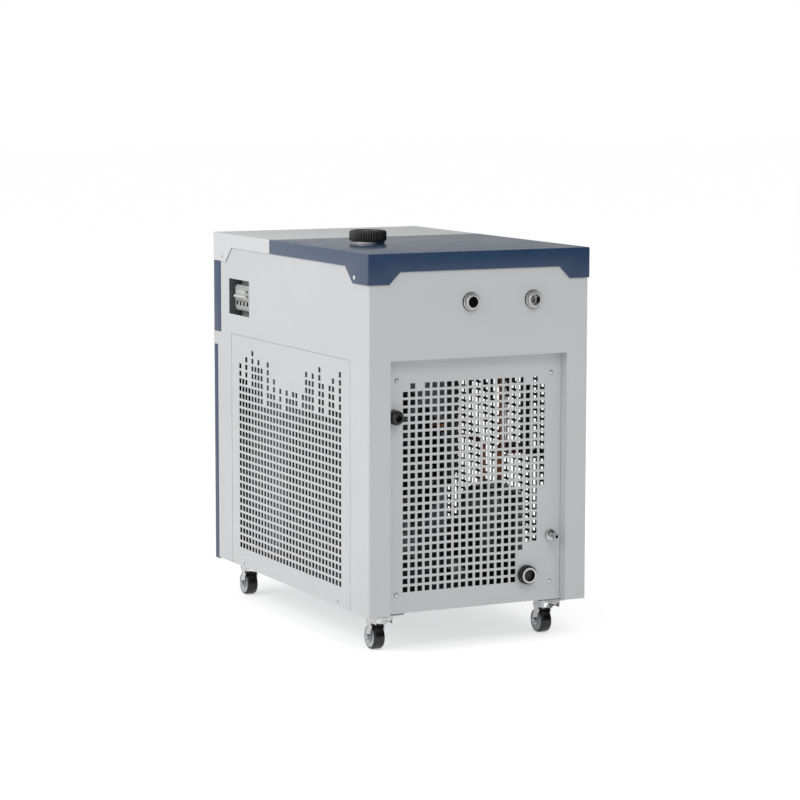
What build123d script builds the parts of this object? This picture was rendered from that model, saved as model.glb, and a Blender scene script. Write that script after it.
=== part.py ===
from build123d import *
import math
import os

# Recirculating chiller on four swivel casters.
# Millimetres, +Z up, front towards -Y, rear towards +Y, breaker window on the +X side.
# The origin is on the floor, under the middle of the whole machine.

# Cabinet
lid_width = 488.0
lid_lap = 2.5                 # lid outside, proud of the cabinet skins
cabinet_depth = 772.5         # rear skin to the face of the front frames
body_height = 707.0           # bottom edge of the skins to the top of the lid
caster_height = 76.0          # floor to the underside of the base pan's pads
skin_lift = 4.0               # bottom edge of the skins above the pads
sheet = 1.5                   # panels and covers
bend_radius = 3.0             # outside radius of a folded corner
frame_depth = 24.5            # intake frame, and the front panel's band
bezel_depth = 43.0            # control bezel, front to back

# Top covers
skirt_height = 60.0
rear_skirt_mid = 36.0         # skirt height between the rear tabs
side_skirt_mid = 28.5         # skirt height between the side tabs
rear_tab = 45.0               # flat part of a rear tab
rear_tab_slant = 23.5
side_tab_rear = 70.5
side_tab_front = 65.0
side_tab_slant = 33.5
lid_depth = 768.0
lid_split = 469.0             # rear edge to the joint between the two covers
lid_gap = 0.6
lid_screw_drop = 48.4         # screw below the lid's top
lid_screw_rear = 60.7         # from the lid's rear edge
lid_screw_front = 48.3        # from the lid's front edge
joint_strip = 14.0            # lap under the joint between the covers

# Side grilles
hole_pitch = 16.0
hole_size = 11.0
side_panel_width = 590.0
side_panel_height = 495.0
side_panel_rear = 83.8        # rear skin to the panel's rear edge
panel_gap = 0.6
seat_flange = 12.0            # what a panel lies on, round its opening
side_columns = 32
side_rows = 27
side_dip = 3                  # rows that the middle columns lack at the top
side_bars = (9, 18)           # rows above which a cross bar runs
grille_bottom = 46.5          # bottom row of holes above the skin's bottom edge
side_screw_height = 11.2
side_screw_inset = 59.0

# Rear recess and its grille
recess_width = 390.0
recess_height = 499.0
recess_depth = 22.0
recess_flange = 32.0          # flange that the rear grille is screwed to
rear_columns = 20
rear_rows = 26
rear_bars = (5, 10, 16, 21)
rear_screw_x = 171.4
rear_screw_low = 37.0
rear_screw_high = 458.7

# Fittings on the rear face
port_height = 608.0           # above the skin's bottom edge
outlet_x = 21.0
return_x = -117.0
port_reach = 12.0
port_radius = 15.0
port_bore = 10.5
port_inside = 30.0
locknut_flats = 36.0
locknut_thickness = 5.0
drain_height = 131.5
drain_reach = 29.0
socket_x = -117.0
socket_height = 55.0
gland_x = 178.0
gland_height = 388.0
gland_radius = 14.5
gland_reach = 25.0

# Filler
filler_x = 106.0
filler_rear = 288.0           # from the lid's rear edge
cap_radius = 38.0
cap_height = 21.0
neck_ring_height = 6.0
neck_bore = 27.0
neck_wall = 1.5
seal_thickness = 3.0
cap_plug = 12.0
fit_gap = 0.3

# Breaker
window_rear = 578.0           # rear skin to the window's rear edge
window_width = 106.5
window_height = 75.6
window_low = 537.3            # above the skin's bottom edge
breaker_setback = 10.0        # breaker's face behind the skin
pole_pitch = 18.0
poles = 4
breaker_rear = 602.0
nose_low = 546.0
nose_height = 54.0
breaker_depth = 62.0
toggle_height = 568.0
toggle_radius = 2.2
toggle_trunnion = 3.0

# Front
louvre_reach = 20.0
louvre_low = 57.0
louvre_top = 468.0
louvre_chamfer = 25.0
louvre_lip = 8.0              # louvre box past the frame's opening
louvre_count = 14
band_low = 466.0
band_high = 494.0
frame_border = 38.0

# Inside
shelf_height = 504.0          # shelf's underside above the skin's bottom edge
shelf_rear = 110.0
plate_sheet = 2.0
fan_plane = 512.5             # rear skin to the fan's plate
fan_height = 215.0
fan_opening = 188.0
shroud_half_width = 195.5
shroud_depth = 160.0
condenser_depth = 56.0
condenser_tubes = 40
tank_size = (200.0, 270.0, 160.0)

# Casters
caster_inset_x = 53.5         # swivel axis from the side skin
caster_inset_y = 60.5
caster_trail = 24.0
pad_margin = 5.0
wheel_radius = 25.0
wheel_width = 24.5
plate_size = 60.0
plate_thickness = 2.5
race_gap = 0.6
crown_radius = 22.0
kingpin_radius = 5.0
axle_radius = 4.0
running_gap = 0.06

# Derived frame
skin_x = lid_width / 2 - lid_lap
skin_bottom = caster_height + skin_lift
lid_top = skin_bottom + body_height
rear_y = (cabinet_depth + louvre_reach - port_reach) / 2
front_y = rear_y - cabinet_depth
lid_rear_y = rear_y + lid_lap
lid_front_y = lid_rear_y - lid_depth
lid_under = lid_top - sheet
inner_x = skin_x - sheet
panel_y = rear_y - recess_depth
edge_y = front_y + frame_depth + sheet
edge_y_high = front_y + bezel_depth
shelf_z = skin_bottom + shelf_height
floor_z = skin_bottom + 1.0
floor_top = floor_z + plate_sheet


# Helpers

def block(x0, x1, y0, y1, z0, z1):
    """Box between two corners."""
    middle = ((x0 + x1) / 2, (y0 + y1) / 2, (z0 + z1) / 2)
    return Pos(*middle) * Box(abs(x1 - x0), abs(y1 - y0), abs(z1 - z0))


def rod(start, direction, radius, length):
    """Cylinder from start along direction."""
    seat = Plane(origin=start, z_dir=direction)
    return seat * Cylinder(radius, length, align=(Align.CENTER, Align.CENTER, Align.MIN))


def tube(start, direction, outer, inner, length):
    """Ring from start along direction."""
    return rod(start, direction, outer, length) - rod(start, direction, inner, length)


def prism(points, plane, length):
    """Polygon drawn on plane, extruded along the plane's normal."""
    face = make_face(Polyline(*points, close=True))
    return extrude(plane * face, amount=length)


def turned(points, start, direction):
    """Profile of (radius, height) points, revolved about the axis through start."""
    face = make_face(Polyline(*points, close=True))
    solid = revolve(Plane.XZ * face, Axis.Z)
    return Plane(origin=start, z_dir=direction) * solid


def hexagon(start, direction, flats, length):
    """Hexagonal bar by its width across flats."""
    face = RegularPolygon(flats / 2 / math.cos(math.pi / 6), 6)
    return extrude(Plane(origin=start, z_dir=direction) * face, amount=length)


def pipe(points, radius, bend):
    """Round pipe along straight runs and arcs of one bend radius."""
    path = FilletPolyline(*points, radius=bend)
    section = Plane(origin=path @ 0, z_dir=path % 0) * Circle(radius)
    return sweep(section, path=path)


def group(*solids):
    """Several loose solids as one node."""
    return Compound(children=[s for item in solids for s in item.solids()])


# Perforated panels: each column of holes is a few long slots between cross bars.

def side_heights():
    """Rows in each column of a side grille: tall at both ends, dipping in the middle."""
    heights = []
    for c in range(side_columns):
        share = math.sin(math.pi * c / (side_columns - 1))
        heights.append(side_rows - round(side_dip * share))
    return heights


def rear_heights():
    """Rows in each column of the rear grille, one less beside each upper corner."""
    heights = [rear_rows] * rear_columns
    for c in (0, 2, rear_columns - 3, rear_columns - 1):
        heights[c] -= 1
    return heights


def slots(heights, low, bars, first_row=None):
    """Slots of a panel as sketches, x across and y up from the skin's bottom edge."""
    cutters = []
    columns = len(heights)
    for c, height in enumerate(heights):
        x = (c - (columns - 1) / 2) * hole_pitch
        first = first_row(c) if first_row else 0
        edges = [first] + [b for b in bars if first < b < height - 1] + [height]
        for start, end in zip(edges, edges[1:]):
            length = (end - 1 - start) * hole_pitch + hole_size
            middle = low + (start + end - 1) / 2 * hole_pitch
            cutters.append(Pos(x, middle) * Rectangle(hole_size, length))
    return cutters


def perforated(plane, outline, cutters, thickness):
    """Sheet with its slots, made as one face with holes and then thickened."""
    inner = [c.faces()[0].outer_wire() for c in cutters]
    outer = outline.faces()[0].outer_wire()
    face = Face(outer, inner)
    return extrude(plane * face, amount=thickness)


# Sheet metal

def base_pan():
    """Folded floor with a flange all round and a pressed pad over each caster."""
    rear = rear_y - recess_depth - 2 * sheet - 0.5
    flange = 30.0
    pan = block(-inner_x, inner_x, edge_y, rear, floor_z, floor_z + flange)
    pan -= block(-inner_x + plate_sheet, inner_x - plate_sheet, edge_y + plate_sheet,
                 rear - plate_sheet, floor_top, floor_z + flange)
    pad = plate_size + 2 * pad_margin
    for x, y in caster_places():
        shell = block(x - pad / 2, x + pad / 2, y - pad / 2, y + pad / 2, caster_height, floor_top)
        hollow = block(x - pad / 2 + plate_sheet, x + pad / 2 - plate_sheet,
                       y - pad / 2 + plate_sheet, y + pad / 2 - plate_sheet,
                       caster_height + plate_sheet, floor_top)
        pan = pan + shell - hollow
        for hx, hy in plate_holes(x, y):
            pan -= rod((hx, hy, caster_height), (0, 0, 1), plate_hole_radius, plate_sheet)
    for side in (-1, 1):
        for y in side_screw_places():
            z = skin_bottom + side_screw_height
            pan -= rod((side * (skin_x + 1), y, z), (-side, 0, 0), screw_hole, 8.0)
    return pan


def cabinet_wrap():
    """One folded sheet: both sides and the rear, with the recess, the openings and the window."""
    top = lid_under
    sheet_block = block(-skin_x, skin_x, edge_y, rear_y, skin_bottom, top)
    sheet_block = fillet(sheet_block.edges().filter_by(Axis.Z).group_by(Axis.Y)[-1], bend_radius)
    hollow = block(-inner_x, inner_x, edge_y, rear_y - sheet, skin_bottom, top)
    hollow = fillet(hollow.edges().filter_by(Axis.Z).group_by(Axis.Y)[-1], bend_radius - sheet)
    wrap = sheet_block - hollow
    # The upper front edge stands back for the control bezel.
    wrap -= block(-lid_width, lid_width, edge_y, edge_y_high, skin_bottom + band_high, top)
    # Rear recess: opening, return walls and the flange that its grille lies on.
    half = recess_width / 2
    ceiling = skin_bottom + recess_height
    wrap -= block(-half, half, rear_y - sheet, rear_y, skin_bottom, ceiling)
    back = panel_y - 2 * sheet
    returns = block(-half - sheet, half + sheet, back, rear_y - sheet, skin_bottom, ceiling + sheet)
    returns -= block(-half, half, back + sheet, rear_y, skin_bottom, ceiling)
    returns -= block(-half + recess_flange, half - recess_flange, back, rear_y, skin_bottom,
                     ceiling - recess_flange)
    for x, z, radius in rear_fixings():
        returns -= rod((x, back - 1, z), (0, 1, 0), radius, sheet + 2)
    wrap += returns
    # Side openings with the flange that each panel lies on.
    y1 = rear_y - side_panel_rear + panel_gap
    y0 = rear_y - side_panel_rear - side_panel_width - panel_gap
    head = skin_bottom + side_panel_height + panel_gap
    for side in (-1, 1):
        wrap -= block(side * inner_x, side * skin_x, y0, y1, skin_bottom, head)
        foot = floor_z + 32.0
        lap = seat_flange / 2
        flange = block(side * (inner_x - sheet), side * inner_x, y0 - lap, y1 + lap, foot, head + lap)
        flange -= block(side * (inner_x - sheet), side * inner_x, y0 + seat_flange,
                        y1 - seat_flange, foot, head - seat_flange)
        wrap += flange
    # Breaker window
    wy1 = rear_y - window_rear
    wz0 = skin_bottom + window_low
    wrap -= block(inner_x - 1, skin_x + 1, wy1 - window_width, wy1, wz0, wz0 + window_height)
    # Holes for the ports and the cover screws
    for x in (outlet_x, return_x):
        start = (x, rear_y + 1, skin_bottom + port_height)
        wrap -= rod(start, (0, -1, 0), port_radius + fit_gap, sheet + 2)
    for side in (-1, 1):
        for y in lid_screw_places():
            start = (side * (skin_x + 1), y, lid_top - lid_screw_drop)
            wrap -= rod(start, (-side, 0, 0), screw_hole, sheet + 2)
    return wrap


def rear_fixings():
    """Holes that the rear grille shares with the flange behind it: x, z and radius."""
    holes = [(x, skin_bottom + z, screw_hole)
             for x in (-rear_screw_x, rear_screw_x) for z in (rear_screw_low, rear_screw_high)]
    holes.append((gland_x, skin_bottom + gland_height, gland_thread))
    holes.append((drain_x, skin_bottom + drain_height, drain_thread))
    return holes


def equipment_shelf():
    """Flanged shelf across the cabinet that carries the tank and the electrics."""
    y0 = edge_y_high + panel_gap
    y1 = rear_y - shelf_rear
    flange = 14.0
    shelf = block(-inner_x, inner_x, y0, y1, shelf_z, shelf_z + flange)
    shelf -= block(-inner_x + sheet, inner_x - sheet, y0 + sheet, y1 - sheet,
                   shelf_z + sheet, shelf_z + flange)
    for x, y, radius in shelf_passages():
        shelf -= rod((x, y, shelf_z), (0, 0, 1), radius + 2, sheet)
    return shelf


def shelf_passages():
    """What goes down through the shelf: x, y and radius of each hose and pipe."""
    x, y = evaporator_stubs()[:2]
    return [(*tank_outlet(), hose_radius), (*tank_drain(), drain_hose_radius),
            (x, y + liquid_loop, liquid_pipe), (x, y + suction_loop, suction_pipe)]


def intake_opening():
    """Half width, foot and head of the air intake."""
    return (skin_x - frame_border, skin_bottom + louvre_low + louvre_lip,
            skin_bottom + louvre_top - louvre_lip)


def front_panel():
    """Inner front sheet with the air opening and the plain band under the control bezel."""
    top = skin_bottom + band_high
    panel = block(-skin_x, skin_x, edge_y - sheet, edge_y, skin_bottom, top)
    x, z0, z1 = intake_opening()
    panel -= block(-x, x, edge_y - sheet, edge_y, z0, z1)
    low = skin_bottom + band_low
    band = block(-skin_x, skin_x, front_y + 1.5, edge_y - sheet, low, top)
    band -= block(-skin_x + sheet, skin_x - sheet, front_y + 1.5 + sheet, edge_y - sheet,
                  low + sheet, top - sheet)
    return panel + band


def cover(y0, y1, closed_high):
    """Skirted cover between y0 and y1: three skirts, open at the joint with its neighbour."""
    x = lid_width / 2
    low = lid_top - skirt_height
    outer = block(-x, x, y0, y1, low, lid_top)
    rear_edges = outer.edges().filter_by(Axis.Z).group_by(Axis.Y)[-1 if closed_high else 0]
    outer = fillet(rear_edges, bend_radius)
    inner_y0 = y0 if closed_high else y0 + sheet
    inner_y1 = y1 - sheet if closed_high else y1
    inner = block(-x + sheet, x - sheet, inner_y0, inner_y1, low, lid_under)
    inner_edges = inner.edges().filter_by(Axis.Z).group_by(Axis.Y)[-1 if closed_high else 0]
    inner = fillet(inner_edges, bend_radius - sheet)
    return outer - inner


def side_cutter():
    """What the side skirts lack between their tabs, drawn in Y and Z."""
    low = lid_top - skirt_height
    high = lid_top - side_skirt_mid
    rear = lid_rear_y - side_tab_rear
    front = lid_front_y + side_tab_front
    points = [(rear, low), (rear - side_tab_slant, high), (front + side_tab_slant, high),
              (front, low), (front, low - 1), (rear, low - 1)]
    return prism(points, Plane.YZ.offset(-lid_width), 2 * lid_width)


def top_cover_rear():
    """Rear cover with its tabs and the filler's hole."""
    y0 = lid_rear_y - lid_split + lid_gap / 2
    part = cover(y0, lid_rear_y, True) - side_cutter()
    low = lid_top - skirt_height
    high = lid_top - rear_skirt_mid
    x = lid_width / 2 - rear_tab
    inner = x - rear_tab_slant
    points = [(-x, low), (-inner, high), (inner, high), (x, low), (x, low - 1), (-x, low - 1)]
    part -= prism(points, Plane.XZ.offset(-lid_rear_y - 1), 4 * sheet)
    part -= rod((filler_x, filler_y(), lid_under - 1), (0, 0, 1), neck_bore + neck_wall + fit_gap, 6)
    return part - lid_screw_holes()


def top_cover_front():
    """Front cover, with the strip that laps under the rear one."""
    y1 = lid_rear_y - lid_split - lid_gap / 2
    part = cover(lid_front_y, y1, False) - side_cutter()
    strip = block(-inner_x + 1, inner_x - 1, y1 - joint_strip, y1 + joint_strip, lid_under - sheet,
                  lid_under)
    return part + strip - lid_screw_holes()


def lid_screw_places():
    return (lid_rear_y - lid_screw_rear, lid_front_y + lid_screw_front)


def lid_screw_holes():
    cutters = []
    for side in (-1, 1):
        for y in lid_screw_places():
            start = (side * (lid_width / 2 + 1), y, lid_top - lid_screw_drop)
            cutters.append(rod(start, (-side, 0, 0), screw_hole, sheet + 2))
    return cutters


def side_screw_places():
    y0 = rear_y - side_panel_rear - side_panel_width
    return (y0 + side_screw_inset, y0 + side_panel_width - side_screw_inset)


def side_grille(side):
    """Flush side panel. side is +1 or -1."""
    middle = rear_y - side_panel_rear - side_panel_width / 2
    plane = Plane(origin=(side * inner_x, middle, skin_bottom), x_dir=(0, side, 0),
                  z_dir=(side, 0, 0))
    outline = Pos(0, side_panel_height / 2) * Rectangle(side_panel_width, side_panel_height)
    cutters = slots(side_heights(), grille_bottom, side_bars)
    half = side_panel_width / 2 - side_screw_inset
    cutters += [Pos(x, side_screw_height) * Circle(screw_hole) for x in (-half, half)]
    return perforated(plane, outline, cutters, sheet)


def rear_first_row(column):
    """Rows left out at the foot of a column, where the fittings are."""
    from_left = {16: 4, 17: 5, 18: 5, 19: 12}
    return from_left.get(column, 0)


def rear_grille():
    """Panel at the back of the recess, with room for the fittings at its lower right."""
    plane = Plane(origin=(0, panel_y - sheet, skin_bottom), x_dir=(-1, 0, 0), z_dir=(0, 1, 0))
    width = recess_width - 2 * panel_gap
    height = recess_height - panel_gap
    outline = Pos(0, height / 2) * Rectangle(width, height)
    cutters = slots(rear_heights(), grille_bottom, rear_bars, rear_first_row)
    for x, z, radius in rear_fixings():
        cutters.append(Pos(-x, z - skin_bottom) * Circle(radius))
    cutters.append(Pos(-socket_x, socket_height) * Circle(socket_thread))
    return perforated(plane, outline, cutters, sheet)


# Screws

screw_radius = 2.5
screw_hole = 2.6
screw_head_radius = 4.8
screw_head_height = 2.8


def screw(start, direction, length):
    """Screw with a chamfered head: start is the centre of the face that its head lies on."""
    r, h = screw_head_radius, screw_head_height
    head = turned([(0, 0), (r, 0), (r, h / 3), (r * 0.6, h), (0, h)], start, direction)
    back = tuple(-c for c in direction)
    return head + rod(start, back, screw_radius, length)


def fasteners():
    """Screws of the covers, the side grilles and the rear grille, and the caster bolts."""
    made = []
    for side in (-1, 1):
        for y in lid_screw_places():
            made.append(screw((side * lid_width / 2, y, lid_top - lid_screw_drop), (side, 0, 0), 8.0))
        for y in side_screw_places():
            z = skin_bottom + side_screw_height
            made.append(screw((side * skin_x, y, z), (side, 0, 0), 7.0))
        for z in (rear_screw_low, rear_screw_high):
            made.append(screw((side * rear_screw_x, panel_y, skin_bottom + z), (0, 1, 0), 8.0))
    for x, y in caster_places():
        for hx, hy in plate_holes(x, y):
            under = caster_height - plate_thickness
            reach = plate_thickness + plate_sheet + 4.0
            bolt = rod((hx, hy, under), (0, 0, 1), plate_hole_radius - 0.2, reach)
            bolt += hexagon((hx, hy, under), (0, 0, -1), 10.0, 2.6)
            bolt += hexagon((hx, hy, caster_height + plate_sheet), (0, 0, 1), 10.0, 4.0)
            made.append(bolt)
    return group(*made)


# Front

def control_bezel():
    """Moulded surround of the display."""
    wall = 2.5
    low = skin_bottom + band_high
    high = lid_top - skirt_height - 1.0
    outer = block(-skin_x, skin_x, front_y, edge_y_high, low, high)
    outer = fillet(outer.edges().filter_by(Axis.Z).group_by(Axis.Y)[0], 5.0)
    shell = outer - block(-skin_x + wall, skin_x - wall, front_y + wall, edge_y_high, low + wall,
                          high - wall)
    middle = (low + high) / 2
    seat = block(-display_size[0] / 2 - 4, display_size[0] / 2 + 4, front_y + wall,
                 front_y + wall + 3, middle - display_size[1] / 2 - 4, middle + display_size[1] / 2 + 4)
    shell += seat
    shell -= display_block(0.0, 4.0, panel_gap / 2)
    x, z = display_size[0] / 2 - 8, display_size[1] / 2 - 8
    return shell - block(-x, x, front_y, front_y + 8, middle - z, middle + z)


display_size = (300.0, 100.0)


def display_block(start, depth, grow):
    middle = (skin_bottom + band_high + lid_top - skirt_height - 1.0) / 2
    x = display_size[0] / 2 + grow
    z = display_size[1] / 2 + grow
    return block(-x, x, front_y + start, front_y + depth, middle - z, middle + z)


def display_window():
    """Clear panel in the bezel's seat."""
    return display_block(0.5, 4.0, 0.0)


def intake_frame():
    """Moulded surround of the air intake."""
    low = skin_bottom - 3.0
    high = skin_bottom + band_low
    back = edge_y - sheet
    outer = block(-skin_x, skin_x, front_y, back, low, high)
    outer = fillet(outer.edges().filter_by(Axis.Z).group_by(Axis.Y)[0], 5.0)
    shell = outer - block(-skin_x + 2.5, skin_x - 2.5, front_y + 3, back, low + 2.5, high - 2.5)
    x, z0, z1 = intake_opening()
    lining = block(-x - 2.5, x + 2.5, front_y + 3, back, z0 - 2.5, z1 + 2.5)
    return shell + lining - block(-x, x, front_y, back, z0, z1)


def intake_louvres():
    """Louvre box: a chamfered surround over the frame, a neck in the opening and sloping slats."""
    x, z0, z1 = intake_opening()
    x, z0, z1 = x - fit_gap, z0 + fit_gap, z1 - fit_gap
    wall = 4.0
    face = front_y - louvre_reach
    back = edge_y - sheet
    low, high = skin_bottom + louvre_low, skin_bottom + louvre_top
    width = 2 * (x + louvre_lip)
    shoulder = high - louvre_chamfer
    points = [(front_y, low), (face, low), (face, shoulder), (front_y, high)]
    body = prism(points, Plane.YZ.offset(-width / 2), width)
    body += block(-x, x, front_y, back, z0, z1)
    body -= block(-x + wall, x - wall, face, back, z0 + wall, shoulder - wall)
    body -= block(-x + wall, x - wall, front_y - 2, back, z0 + wall, z1 - wall)
    pitch = (shoulder - z0 - 2 * wall) / louvre_count
    depth = 26.0
    for k in range(louvre_count):
        z = z0 + wall + (k + 0.2) * pitch
        rise = pitch * 0.55
        slat = [(face, z), (face, z + 3), (face + depth, z + 3 + rise), (face + depth, z + rise)]
        body += prism(slat, Plane.YZ.offset(-x + wall / 2), 2 * x - wall)
    for k in (-1, 0, 1):
        rib = k * x / 2
        body += block(rib - 2, rib + 2, face + 3, face + depth, z0 + wall / 2, shoulder - wall / 2)
    return body


# Breaker

def breaker_middle():
    return rear_y - breaker_rear - poles * pole_pitch / 2


def breaker_tray():
    """Open box behind the window, with the rail that the breaker clips to."""
    y1 = rear_y - window_rear + 3
    y0 = y1 - window_width - 6
    z0 = skin_bottom + window_low - 12
    z1 = skin_bottom + window_low + window_height + 12
    back = inner_x - breaker_setback - breaker_depth - 6
    tray = block(back, inner_x, y0, y1, z0, z1)
    tray -= block(back + sheet, inner_x, y0 + sheet, y1 - sheet, z0 + sheet, z1 - sheet)
    z = skin_bottom + nose_low + nose_height / 2
    rail = block(back + sheet, back + 7.0, y0 + sheet, y1 - sheet, z - 12.5, z + 12.5)
    rail += block(back + 6.0, back + 7.0, y0 + sheet, y1 - sheet, z - 17.5, z + 17.5)
    return tray + rail


def breaker_body():
    """Four-pole breaker: a stepped profile with a slot for each toggle."""
    face = skin_x - breaker_setback
    back = inner_x - breaker_setback - breaker_depth + 1.0
    z0 = skin_bottom + nose_low
    z1 = z0 + nose_height
    shoulder = face - 16.0
    points = [(back, z0 - 14), (shoulder, z0 - 14), (shoulder, z0), (face - 3, z0), (face, z0 + 6),
              (face, z1 - 6), (face - 3, z1), (shoulder, z1), (shoulder, z1 + 14), (back, z1 + 14)]
    width = poles * pole_pitch
    y1 = breaker_middle() + width / 2
    body = prism(points, Plane.XZ.offset(-y1), width)
    zt = skin_bottom + toggle_height
    for k in range(poles):
        y = y1 - (k + 0.5) * pole_pitch
        body -= block(face - 14, face + 1, y - 4.2, y + 4.2, zt - 11, zt + 11)
        if k:
            seam = y1 - k * pole_pitch
            body -= block(face - 1.2, face + 1, seam - 0.3, seam + 0.3, z0, z1)
    for k in range(poles - 1):
        seam = y1 - (k + 1) * pole_pitch
        body -= block(face - 10.5, face + 1, seam - 5.5, seam + 5.5, zt - 2.6, zt + 2.6)
    ends = toggle_ends()
    body -= rod((toggle_axis_x(), ends[0] - 0.2, zt), (0, 1, 0), toggle_radius + running_gap,
                ends[1] - ends[0] + 0.4)
    body -= rod((face + 1, button_y(), button_z()), (-1, 0, 0), button_radius + 0.1, 6.0)
    return body


def toggle_ends():
    """Low and high Y of the toggle's bar, which runs into the case at both ends."""
    reach = (poles - 1) * pole_pitch / 2 + 4.2 + toggle_trunnion
    return breaker_middle() - reach, breaker_middle() + reach


button_radius = 2.4


def button_y():
    return breaker_middle() + poles * pole_pitch / 2 - 0.5 * pole_pitch


def button_z():
    return skin_bottom + nose_low + nose_height - 12


def toggle_axis_x():
    return skin_x - breaker_setback - 7.5


def breaker_toggle():
    """Four handles on one cross bar, resting up."""
    y1 = breaker_middle() + poles * pole_pitch / 2
    x = toggle_axis_x()
    z = skin_bottom + toggle_height
    ends = toggle_ends()
    part = rod((x, ends[0], z), (0, 1, 0), toggle_radius, ends[1] - ends[0])
    for k in range(poles):
        y = y1 - (k + 0.5) * pole_pitch
        points = [(x - 2, z + 1), (x + 2.4, z - 2), (x + 14.5, z + 7.5), (x + 13, z + 11), (x + 8, z + 8)]
        part += prism(points, Plane.XZ.offset(-y - 3.5), 7.0)
        part += rod((x, y - 3.5, z), (0, 1, 0), 4.0, 7.0)
    return part


def test_button():
    """Small round key in the breaker's face."""
    face = skin_x - breaker_setback
    start = (face - 2.6, button_y(), button_z())
    return rod(start, (1, 0, 0), button_radius, 2.6 + 1.6)


# Filler

def filler_y():
    return lid_rear_y - filler_rear


def filler_neck():
    """Flanged tube from the tank's roof to above the lid."""
    x, y = filler_x, filler_y()
    bottom = tank_top() - sheet
    neck = tube((x, y, bottom), (0, 0, 1), neck_bore + neck_wall, neck_bore, lid_top - bottom)
    ring = tube((x, y, lid_top), (0, 0, 1), cap_radius, neck_bore, neck_ring_height)
    return neck + ring


def filler_seal():
    """Flat ring between the neck and the cap."""
    start = (filler_x, filler_y(), lid_top + neck_ring_height)
    return tube(start, (0, 0, 1), neck_bore + 6.0, neck_bore - 0.5, seal_thickness)


def filler_cap():
    """Ribbed cap with a bevelled rim, a seat for its seal and a plug that fits the neck."""
    x, y = filler_x, filler_y()
    z = lid_top + neck_ring_height
    root = cap_radius - 2.0
    bevel = 3.0
    body = turned([(0, 0), (root, 0), (root, cap_height - bevel), (root - bevel, cap_height),
                   (root - 7, cap_height), (root - 7.8, cap_height - 0.8), (0, cap_height - 0.8)],
                  (x, y, z), (0, 0, 1))
    ribs = 30
    angle = 360 / ribs
    for k in range(ribs):
        rib = Pos(root + 0.2, 0, 1.0 + (cap_height - bevel - 1.5) / 2)
        rib = rib * Box(3.2, 3.6, cap_height - bevel - 1.5)
        body += Pos(x, y, z) * Rot(0, 0, k * angle) * rib
    body -= rod((x, y, z), (0, 0, 1), neck_bore + 6.0 + fit_gap, seal_thickness + fit_gap)
    plug = tube((x, y, z - cap_plug), (0, 0, 1), neck_bore - 0.9, neck_bore - 4.0,
                cap_plug + seal_thickness + fit_gap)
    return body + plug


# Fittings on the rear

drain_x = -rear_screw_x
drain_thread = 5.0
gland_thread = 10.0
socket_thread = 13.0
hose_radius = 12.0
drain_hose_radius = 9.0
liquid_pipe = 3.0
suction_pipe = 6.0
gas_pipe = 5.0
liquid_loop = 16.0            # evaporator's stub to the liquid pipe's drop
suction_loop = 34.0


def port(x, socketed):
    """Port body: threaded tube with its shoulder inside the rear skin."""
    z = skin_bottom + port_height
    start = (x, rear_y + port_reach, z)
    length = port_reach + port_inside
    body = rod(start, (0, -1, 0), port_radius, length)
    body += hexagon((x, rear_y - sheet, z), (0, -1, 0), locknut_flats, 6.0)
    if not socketed:
        return body - rod(start, (0, -1, 0), port_bore, length)
    body -= rod(start, (0, -1, 0), port_bore, 16.0)
    body -= hexagon(start, (0, -1, 0), 16.0, 28.0)
    return body - rod(start, (0, -1, 0), 6.0, length)


def port_locknuts():
    """Chamfered nut on each port, outside the skin."""
    nuts = []
    for x in (outlet_x, return_x):
        start = (x, rear_y, skin_bottom + port_height)
        nut = hexagon(start, (0, 1, 0), locknut_flats, locknut_thickness)
        corner = locknut_flats / 2 / math.cos(math.pi / 6)
        cone = turned([(0, 0), (corner, 0), (corner, locknut_thickness - 1.2),
                       (locknut_flats / 2, locknut_thickness), (0, locknut_thickness)],
                      start, (0, 1, 0))
        nuts.append((nut & cone) - rod(start, (0, 1, 0), port_radius + 0.05, locknut_thickness))
    return group(*nuts)


def drain_nipple():
    """Drain tail: nut, barbed tail and a thread through the panel."""
    z = skin_bottom + drain_height
    start = (drain_x, panel_y, z)
    body = hexagon(start, (0, 1, 0), 21.0, 6.0)
    tail = [(0, 0), (5.0, 0), (5.0, drain_reach - 12), (6.4, drain_reach - 12), (5.0, drain_reach - 7),
            (6.4, drain_reach - 7), (5.2, drain_reach), (0, drain_reach)]
    body += turned(tail, start, (0, 1, 0))
    body += rod(start, (0, -1, 0), drain_thread - 0.1, 22.0)
    return body - rod((drain_x, panel_y + drain_reach, z), (0, -1, 0), 3.5, drain_reach + 22.0)


socket_bore = 11.6
socket_reach = 17.0
socket_bore_depth = 10.0
insert_radius = 10.6
insert_depth = 13.0


def service_socket():
    """Round panel socket: ribbed collar, bright nose, an open face and a seat from behind."""
    z = skin_bottom + socket_height
    start = (socket_x, panel_y, z)
    body = rod(start, (0, 1, 0), 18.2, 13.0)
    for k in range(24):
        rib = Pos(18.2, 0, 6.5) * Box(1.6, 2.2, 12.0)
        body += Plane(origin=start, z_dir=(0, 1, 0)) * Rot(0, 0, k * 15) * rib
    body += rod(start, (0, 1, 0), 15.5, socket_reach)
    body += rod(start, (0, -1, 0), socket_thread - 0.1, 14.0)
    mouth = (socket_x, panel_y + socket_reach, z)
    body -= rod(mouth, (0, -1, 0), socket_bore, socket_bore_depth)
    return body - rod(mouth, (0, -1, 0), insert_radius + 0.1, socket_reach + 14.0)


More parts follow.
